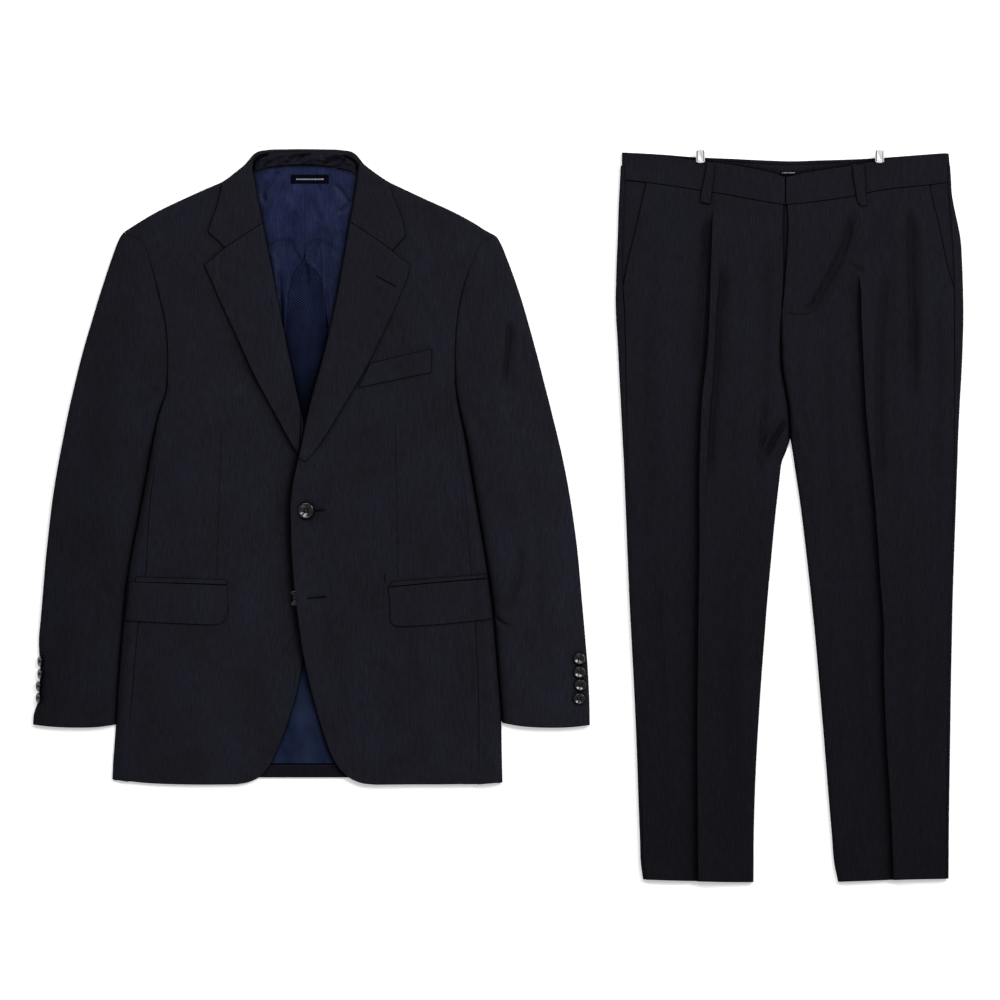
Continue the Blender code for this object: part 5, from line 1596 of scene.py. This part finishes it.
CREASES = {
    "right": [
        (713, 204), (711, 255), (709.4, 304), (707, 352), (701.7, 400), (699.6, 449), (698.8, 497),
        (699.2, 546), (698.4, 594), (697.8, 642), (697.3, 691), (697, 739), (697.2, 787), (697.6, 836),
        (698, 882),
    ],
    "left": [
        (857, 268), (859.6, 284), (861, 324), (863.2, 367), (865.4, 410), (869.4, 453), (873.8, 496),
        (877, 539), (879.8, 582), (883, 624), (883.2, 667), (884.6, 710), (886.6, 753), (889.4, 796),
        (891.6, 839), (893, 880),
    ],
}
LEG_FOLDS = {
    "right": [
        # the pressed crease, the cloth drawn in beside it, and the fold on its other side
        Fold(2.8, 36, 1.0, 40, 0, CREASES["right"], 1),
        Fold(2.0, 11, 1.0, 60, 0, CREASES["right"], 1),
        Fold(-3.3, 0.5, 11.0, 40, 0, [(x - 0.8, y) for x, y in CREASES["right"]], 1),
        Fold(-2.2, 2.0, 7.0, 24, 60, [(709, 212), (705, 255), (701.6, 300), (698, 345), (696, 392)]),
        Fold(
            -3.8, 6.5, 2.6, 30, 60,
            [
                (721.6, 258), (721, 282), (718, 320), (717, 345), (715.4, 375), (712, 410), (710, 450),
                (708, 500),
            ],
        ),
        Fold(1.4, 9, 5, 30, 60, [(733, 262), (732, 320), (729, 380), (724, 440)]),
        # soft bands of the thigh
        Fold(2.4, 10, 12, 60, 90, [(664, 230), (660, 330), (664, 430), (668, 520)]),
        Fold(-1.8, 8, 8, 50, 90, [(643, 300), (642, 380), (644, 460), (648, 540)]),
        Fold(2.2, 9, 10, 50, 70, [(746, 226), (746, 320), (742, 400), (738, 480)]),
        Fold(-2.4, 8, 7, 40, 60, [(764, 240), (763, 320), (762, 380), (758, 430)]),
        Fold(-2.6, 5, 3, 16, 34, [(764, 398), (762.4, 424), (760, 455), (758, 486)]),
        # wrinkles at the top of the inner leg
        Fold(2.4, 2.8, 3.4, 16, 12, [(758, 456), (766, 441), (775, 427), (785, 412)]),
        Fold(-2.8, 3.2, 2.8, 12, 10, [(763, 460), (771, 445), (779, 432), (788, 420)]),
        Fold(1.5, 2.6, 3.0, 10, 9, [(768, 462), (775, 450), (785, 436)]),
        # slow roll of the lower leg
        Fold(2.0, 7, 9, 60, 60, [(664, 560), (668, 680), (672, 800)]),
        Fold(-1.8, 8, 9, 60, 60, [(722, 540), (724, 660), (726, 800)]),
        Fold(1.8, 6, 7, 50, 60, [(744, 560), (742, 680), (742, 800)]),
    ],
    "left": [
        Fold(2.6, 32, 1.0, 40, 0, CREASES["left"], 1),
        Fold(1.8, 11, 1.0, 60, 0, CREASES["left"], 1),
        Fold(-3.1, 0.5, 9.5, 40, 0, [(x - 0.8, y) for x, y in CREASES["left"]], 1),
        # the drag from the fly's foot up to the belt loop
        Fold(
            -4.6, 6.0, 4.6, 36, 22,
            [(853.4, 206), (848, 232), (842, 251), (833.6, 268), (824.6, 285), (814, 303), (801, 316)],
        ),
        Fold(3.2, 10, 6, 34, 28, [(867, 222), (861, 246), (851, 268), (840, 288), (829, 306), (815, 322)]),
        Fold(1.8, 5, 11, 34, 26, [(839, 212), (833, 232), (825, 252), (815, 270), (805, 288), (796, 300)]),
        Fold(-2.6, 6.0, 5.4, 22, 24, [(883, 213), (875, 234), (866, 250), (854, 268)]),
        Fold(-1.7, 3.0, 3.0, 7, 9, [(846, 263.6), (855, 267.4), (864, 274)]),
        # folds down the thigh
        Fold(
            -4.2, 5.0, 4.0, 20, 120,
            [(909, 207), (910, 240), (910.4, 285), (912, 330), (911, 380), (910, 430)],
        ),
        Fold(2.6, 8, 5, 24, 70, [(921, 212), (923, 280), (922, 350), (919, 420)]),
        Fold(2.4, 5, 8, 24, 70, [(897.6, 212), (898, 280), (899, 350), (899, 420)]),
        Fold(
            -3.6, 6.5, 4, 36, 90,
            [(884, 266), (881.6, 300), (878.6, 345), (878, 400), (879.4, 460), (881, 520)],
        ),
        Fold(-2.4, 8, 8, 40, 90, [(826, 330), (824, 400), (828, 470), (834, 540)]),
        Fold(2.2, 8, 10, 40, 90, [(806, 340), (808, 410), (814, 480), (820, 550)]),
        Fold(2.0, 7, 8, 40, 90, [(846, 340), (848, 420), (854, 500), (860, 580)]),
        Fold(-2.2, 6, 7, 40, 90, [(936, 300), (937, 380), (935, 460), (932, 520)]),
        Fold(1.8, 5, 4, 14, 24, [(796, 420), (800, 440), (806, 470)]),
        Fold(-1.8, 4, 5, 14, 24, [(803, 412), (808, 436), (815, 468)]),
        Fold(2.0, 7, 9, 60, 60, [(914, 560), (914, 680), (916, 800)]),
        Fold(-1.8, 8, 9, 60, 60, [(852, 600), (858, 700), (862, 800)]),
    ],
}
FLY_FOLD = [
    Fold(-0.8, 1.0, 1.0, 4, 14, [(784.5, 313.0), (795, 314.6), (806, 314.4), (818, 308.4)]),
    Fold(
        -0.16, 0.9, 0.9, 12, 6,
        [(818, 308.4), (828, 295), (835.6, 275), (843, 262), (847.6, 248), (850, 214)],
    ),
]


def seat_depth(points):
    """The seat seam is drawn in more and more below the fly."""
    return 5.0 - 4.4 * rising(points, 356, 306)


def side_depth(points):
    """A trouser side seam's groove, pressed flat down the leg."""
    return 0.12 + 0.6 * rising(points, 420, 330)


def build_legs():
    for side in SIDES:
        folds = LEG_FOLDS[side] + (FLY_FOLD if side == "left" else [])
        edges = [
            Edge(1.2, 0.9, WAIST_SEAM[side][1:]),
            Edge(1.6, 1.6, FLY[side]),
            Edge(9.0, seat_depth, SEAT[side]),
            Edge(6.0, 4.0, INSEAM[side], curl=5.0),
            Edge(1.3, 1.0, LEG_HEM[side]),
            Edge(1.1, side_depth, flipped(LEG_SIDE[side])),
            Edge(1.1, 0.9, flipped(MOUTH[side])),
        ]
        made = panel(f"leg_front_cloth_{side}", edges, LEG_TOP, folds, rolling=0.7)
        dress(made, TROUSERING, f"leg_front_{side}")
        leg_back(side)
        edges = [
            Edge(0.9, 0.5, MOUTH[side]),
            Edge(0.9, 0.7, flipped(LEG_SIDE_TOP[side])),
            Edge(0.9, 0.7, [LEG_SIDE_TOP[side][0], MOUTH[side][0]]),
        ]
        made = panel(f"bearer_cloth_{side}", edges, LEG_TOP - 1.3, thick=1.6, pitch=3.4)
        dress(made, TROUSERING, f"pocket_bearer_{side}")


# Cloth inside the trousers that shows at the fly and along the seat's seam.
UNDERLAP_OUTLINE = [
    (780, 181), (790.5, 181), (791, 206.5), (789.5, 262), (785, 320), (777.5, 320), (778.5, 262),
    (779.5, 206.5),
]
TURNING_OUTLINE = [
    (777.5, 314), (786, 314), (785.4, 344), (787, 369), (790.6, 390), (793, 410), (791.8, 439),
    (788.4, 439),
    (783.6, 405), (780, 390), (776.6, 369), (775.8, 344),
]


def build_inner_turnings():
    edges = edges_round(UNDERLAP_OUTLINE, 0.9, 0.6)
    dress(panel("fly_underlap_cloth", edges, LEG_TOP - 2.4, thick=1.6, pitch=4), TROUSERING)
    edges = edges_round(TURNING_OUTLINE, 0.9, 0.3)
    dress(panel("seat_seam_turning", edges, 1.9, thick=1.6, pitch=4), TROUSERING)


def leg_back(side):
    """The back of a leg: from the side seam round the outer fold and along the floor."""
    fold = spline(plan(LEG_FOLD[side]), 3.0)
    seam = spline(plan(LEG_SIDE_TOP[side] + LEG_SIDE[side][1:]), 1.0)
    inner = spline(plan(FLY[side] + SEAT[side][1:] + INSEAM[side][1:]), 1.0)
    crotch = plan(INSEAM[side])[0, 1]
    sign = 1 if side == "left" else -1
    half = LEG_TOP / 2
    rows = []
    for x, y in fold:
        shows = max(abs(x - np.interp(-y, -seam[:, 1], seam[:, 0])) - GAP, 2.0)
        narrow = min(shows, FOLD)
        inner_x = np.interp(-y, -inner[:, 1], inner[:, 0])
        end = abs(x - inner_x) - (3.0 if y < crotch else 0.15)
        groove = float(side_depth(np.array([[x, y]]))[0])
        path = [
            (shows + 0.8, LEG_TOP - groove - 0.4), (shows, LEG_TOP - groove), (shows - 0.6, LEG_TOP - 0.05),
        ]
        path += round_fold((56, 45, 30, 15, 0), half, narrow)
        path += round_fold(UNDER_TURNS, half)
        path += [(FOLD + (end - FOLD) * k / 8, 0.0) for k in range(1, 9)]
        rows.append([(x - sign * d, y, z) for d, z in path])
    made = lattice(f"leg_back_cloth_{side}", rows, 1.8)
    dress(made, TROUSERING, f"leg_back_{side}")


BAND_FOLDS = [
    Fold(0.5, 8, 8, 0, 0, [(735, 166), (737, 182), (738, 198)]),
    Fold(-0.5, 7, 7, 0, 0, [(762, 170), (763, 186), (764, 202)]),
    Fold(-0.5, 8, 8, 0, 0, [(675, 156), (676, 172), (676, 188)]),
    Fold(0.5, 8, 8, 0, 0, [(826, 168), (826, 184), (827, 200)]),
    Fold(-0.5, 7, 7, 0, 0, [(890, 160), (891, 176), (891, 190)]),
    Fold(0.4, 7, 7, 0, 0, [(912, 156), (913, 172), (914, 188)]),
]
BACK_BAND_FOLDS = [
    Fold(
        -0.7, 0.9, 0.9, 4, 4,
        [(722, 161.6), (745, 163.2), (769, 164.6), (790, 165.2), (817, 164.4), (842, 163.2)],
    ),
]


def build_waistband():
    for side in SIDES:
        end = 784.9 if side == "right" else 785.3
        top, seam = WAIST_TOP[side][:-1] + [(end, 177.6)], WAIST_SEAM[side][:-1] + [(end, 205.4)]
        edges = [
            Edge(1.4, 1.3, top),
            Edge(1.3, 1.1, [top[-1], seam[-1]]),
            Edge(1.1, 0.9, flipped(seam)),
            Edge(6.0, 4.4, [seam[0], ((seam[0][0] + top[0][0]) / 2, 166), top[0]], curl=4.0),
        ]
        made = panel(
            f"waistband_cloth_{side}", edges, LEG_TOP, BAND_FOLDS, thick=2.0, pitch=3.0, step=2.2,
            rolling=UNEVEN,
        )
        dress(made, TROUSERING, f"waistband_front_{side}")
    back = WAIST_BACK_TOP
    edges = [
        Edge(1.0, 0.9, back),
        Edge(1.0, 0.5, [back[-1], (945.6, 184)]),
        Edge(1.0, 0.5, [(945.6, 184), (624, 184)]),
        Edge(1.0, 0.5, [(624, 184), back[0]]),
    ]
    made = panel("waistband_back_cloth", edges, 2.7, BACK_BAND_FOLDS, thick=2.4, pitch=4, step=3)
    dress(made, TROUSERING, "waistband_back")


BELT_LOOPS = {
    "right": [
        (706.8, 162.4), (703.8, 178), (701.2, 191), (699.4, 202.6), (710.4, 204.8), (711.6, 192),
        (713.2, 178), (714.6, 165.0),
    ],
    "left": [
        (851.4, 164.6), (852.6, 178), (855, 193), (856.4, 202), (861.4, 206.6), (866.2, 205.8),
        (865.2, 192),
        (864.6, 178), (863.8, 165.8),
    ],
}
LOOP_FOOT = {"right": (3, 4), "left": (3, 5)}  # from which to which of its points a loop's lower end goes


def build_belt_loops():
    for side in SIDES:
        points = BELT_LOOPS[side]
        first, last = LOOP_FOOT[side]
        edges = [
            Edge(1.6, 1.2, points[: first + 1]),
            Edge(1.2, 1.0, points[first : last + 1]),
            Edge(1.6, 1.2, points[last:]),
            Edge(1.2, 1.0, [points[-1], points[0]]),
        ]
        made = panel(
            f"belt_loop_cloth_{side}", edges, LEG_TOP + 2.1, BAND_FOLDS, thick=1.6, pitch=2.0, step=1.6,
            rolling=UNEVEN,
        )
        dress(made, TROUSERING, f"belt_loop_{side}")


CLIP_ENDS = (150.4, 163.4)  # plan rows of a clip's top and foot
CLIP_SIDES = {"right": (695.7, 704.7), "left": (874.6, 883.5)}


def build_clips():
    """A clip's bent leaf, which grips the waistband's top, with a near-black rail on each side as painted
    shade at its rolled-up edges.
    """
    high, low = CLIP_ENDS
    for side in SIDES:
        x0, x1 = CLIP_SIDES[side]
        middle = (x0 + x1) / 2
        edges = [
            Edge(0.8, 0.4, [(x0, low - 1.0), (x0, high + 0.8)]),
            Edge(1.2, 1.0, [(x0, high + 0.8), (x0 + 0.8, high), (x1 - 0.8, high), (x1, high + 0.8)]),
            Edge(0.8, 0.4, [(x1, high + 0.8), (x1, low - 1.0)]),
            Edge(1.0, 0.5, [(x1, low - 1.0), (x1 - 2.4, low), (x0 + 2.4, low), (x0, low - 1.0)]),
        ]
        bend = [Fold(-1.2, 0.9, 0.9, 0.5, 0.5, [(middle, high + 2.2), (middle, low - 2.6)])]
        leaf = panel(f"hanger_clip_leaf_{side}", edges, LEG_TOP + 2.2, bend, thick=0.9, pitch=1.0, step=0.8)
        dress(leaf, STEEL, f"hanger_clip_{side}")
        # Painted shade: a dark rail along each rolled-up side of the clip.
        for number, x in enumerate((x0 + 0.7, x1 - 1.7), 1):
            edges = box_edges(x, high + 0.5, x + 1.0, low - 1.4, 0.4, 0.3)
            name = f"hanger_clip_rail_{side}_{number}"
            dress(panel(name, edges, LEG_TOP + 2.7, thick=0.6, pitch=1.0, step=0.8), CLIP_EDGE_SHADE)


build_backs()
build_fronts()
build_lapels()
build_collar()
build_stand()
build_sleeves()
for each in SIDES:
    side_panel(each)
build_linings()
build_pockets()
build_buttons()
build_stitching()
build_labels()
build_legs()
build_inner_turnings()
build_waistband()
build_belt_loops()
build_clips()


# ------------------------------------------------------------------------------------------- stage


FLOOR_GLOW = 0.30  # the paper's own faint light, as on a light table


def floor():
    half = 4.0
    count = 24
    xs = np.linspace(-half, half, count)
    grid = [(x, y, 0.0) for y in xs for x in xs]
    faces = [
        (r * count + c, r * count + c + 1, (r + 1) * count + c + 1, (r + 1) * count + c)
        for r in range(count - 1) for c in range(count - 1)
    ]
    mesh = bpy.data.meshes.new("floor")
    mesh.from_pydata(grid, [], faces)
    made = bpy.data.objects.new("floor", mesh)
    bpy.context.scene.collection.objects.link(made)
    material, tree, shader = surface("floor_paper", 0.9, 0.0)
    colour = mottle(tree, (3, 3, 3), (0.93, 0.93, 0.93), (0.95, 0.95, 0.95))
    tree.links.new(colour, shader.inputs["Base Color"])
    shader.inputs["Emission Color"].default_value = (1.0, 1.0, 1.0, 1.0)
    shader.inputs["Emission Strength"].default_value = FLOOR_GLOW
    mesh.materials.append(material)


def light(name, place, size, power, low=None):
    """A soft light aimed at the middle: a disk, or a strip of the height low."""
    data = bpy.data.lights.new(name, "AREA")
    data.shape = "RECTANGLE" if low else "DISK"
    data.size = size
    if low:
        data.size_y = low
    data.energy = power
    made = bpy.data.objects.new(name, data)
    made.location = place
    aim = Vector((0, 0, 0)) - Vector(place)
    made.rotation_euler = aim.to_track_quat("-Z", "Y").to_euler()
    bpy.context.scene.collection.objects.link(made)


CAMERA_HEIGHT = 6.0
CAMERA_OVER = (0.0025, 0.02045)  # the point of the frame in the picture's middle
SENSOR = 36.0
VIEW = 1.3  # metres that the picture shows from side to side
WORLD_LIGHT = 0.33

floor()
light("key", (3.6, 3.0, 4.8), 3.2, 306)
light("fill_low", (0.8, -4.5, 6.0), 4.0, 28)
light("strip", (-1.2, 3.8, 4.7), 3.6, 130, low=1.0)

scene = bpy.context.scene
world = bpy.data.worlds.new("studio")
scene.world = world
world.use_nodes = True
world.node_tree.nodes["Background"].inputs["Color"].default_value = (1.0, 1.0, 1.0, 1.0)
world.node_tree.nodes["Background"].inputs["Strength"].default_value = WORLD_LIGHT
scene.view_settings.view_transform = "Standard"
scene.view_settings.look = "None"

camera_data = bpy.data.cameras.new("camera")
camera_data.sensor_width = SENSOR
camera_data.lens = SENSOR * CAMERA_HEIGHT / VIEW
camera_data.clip_end = 100
camera = bpy.data.objects.new("camera", camera_data)
camera.location = (*CAMERA_OVER, CAMERA_HEIGHT)
camera.rotation_euler = (0, 0, 0)
scene.collection.objects.link(camera)
scene.camera = camera
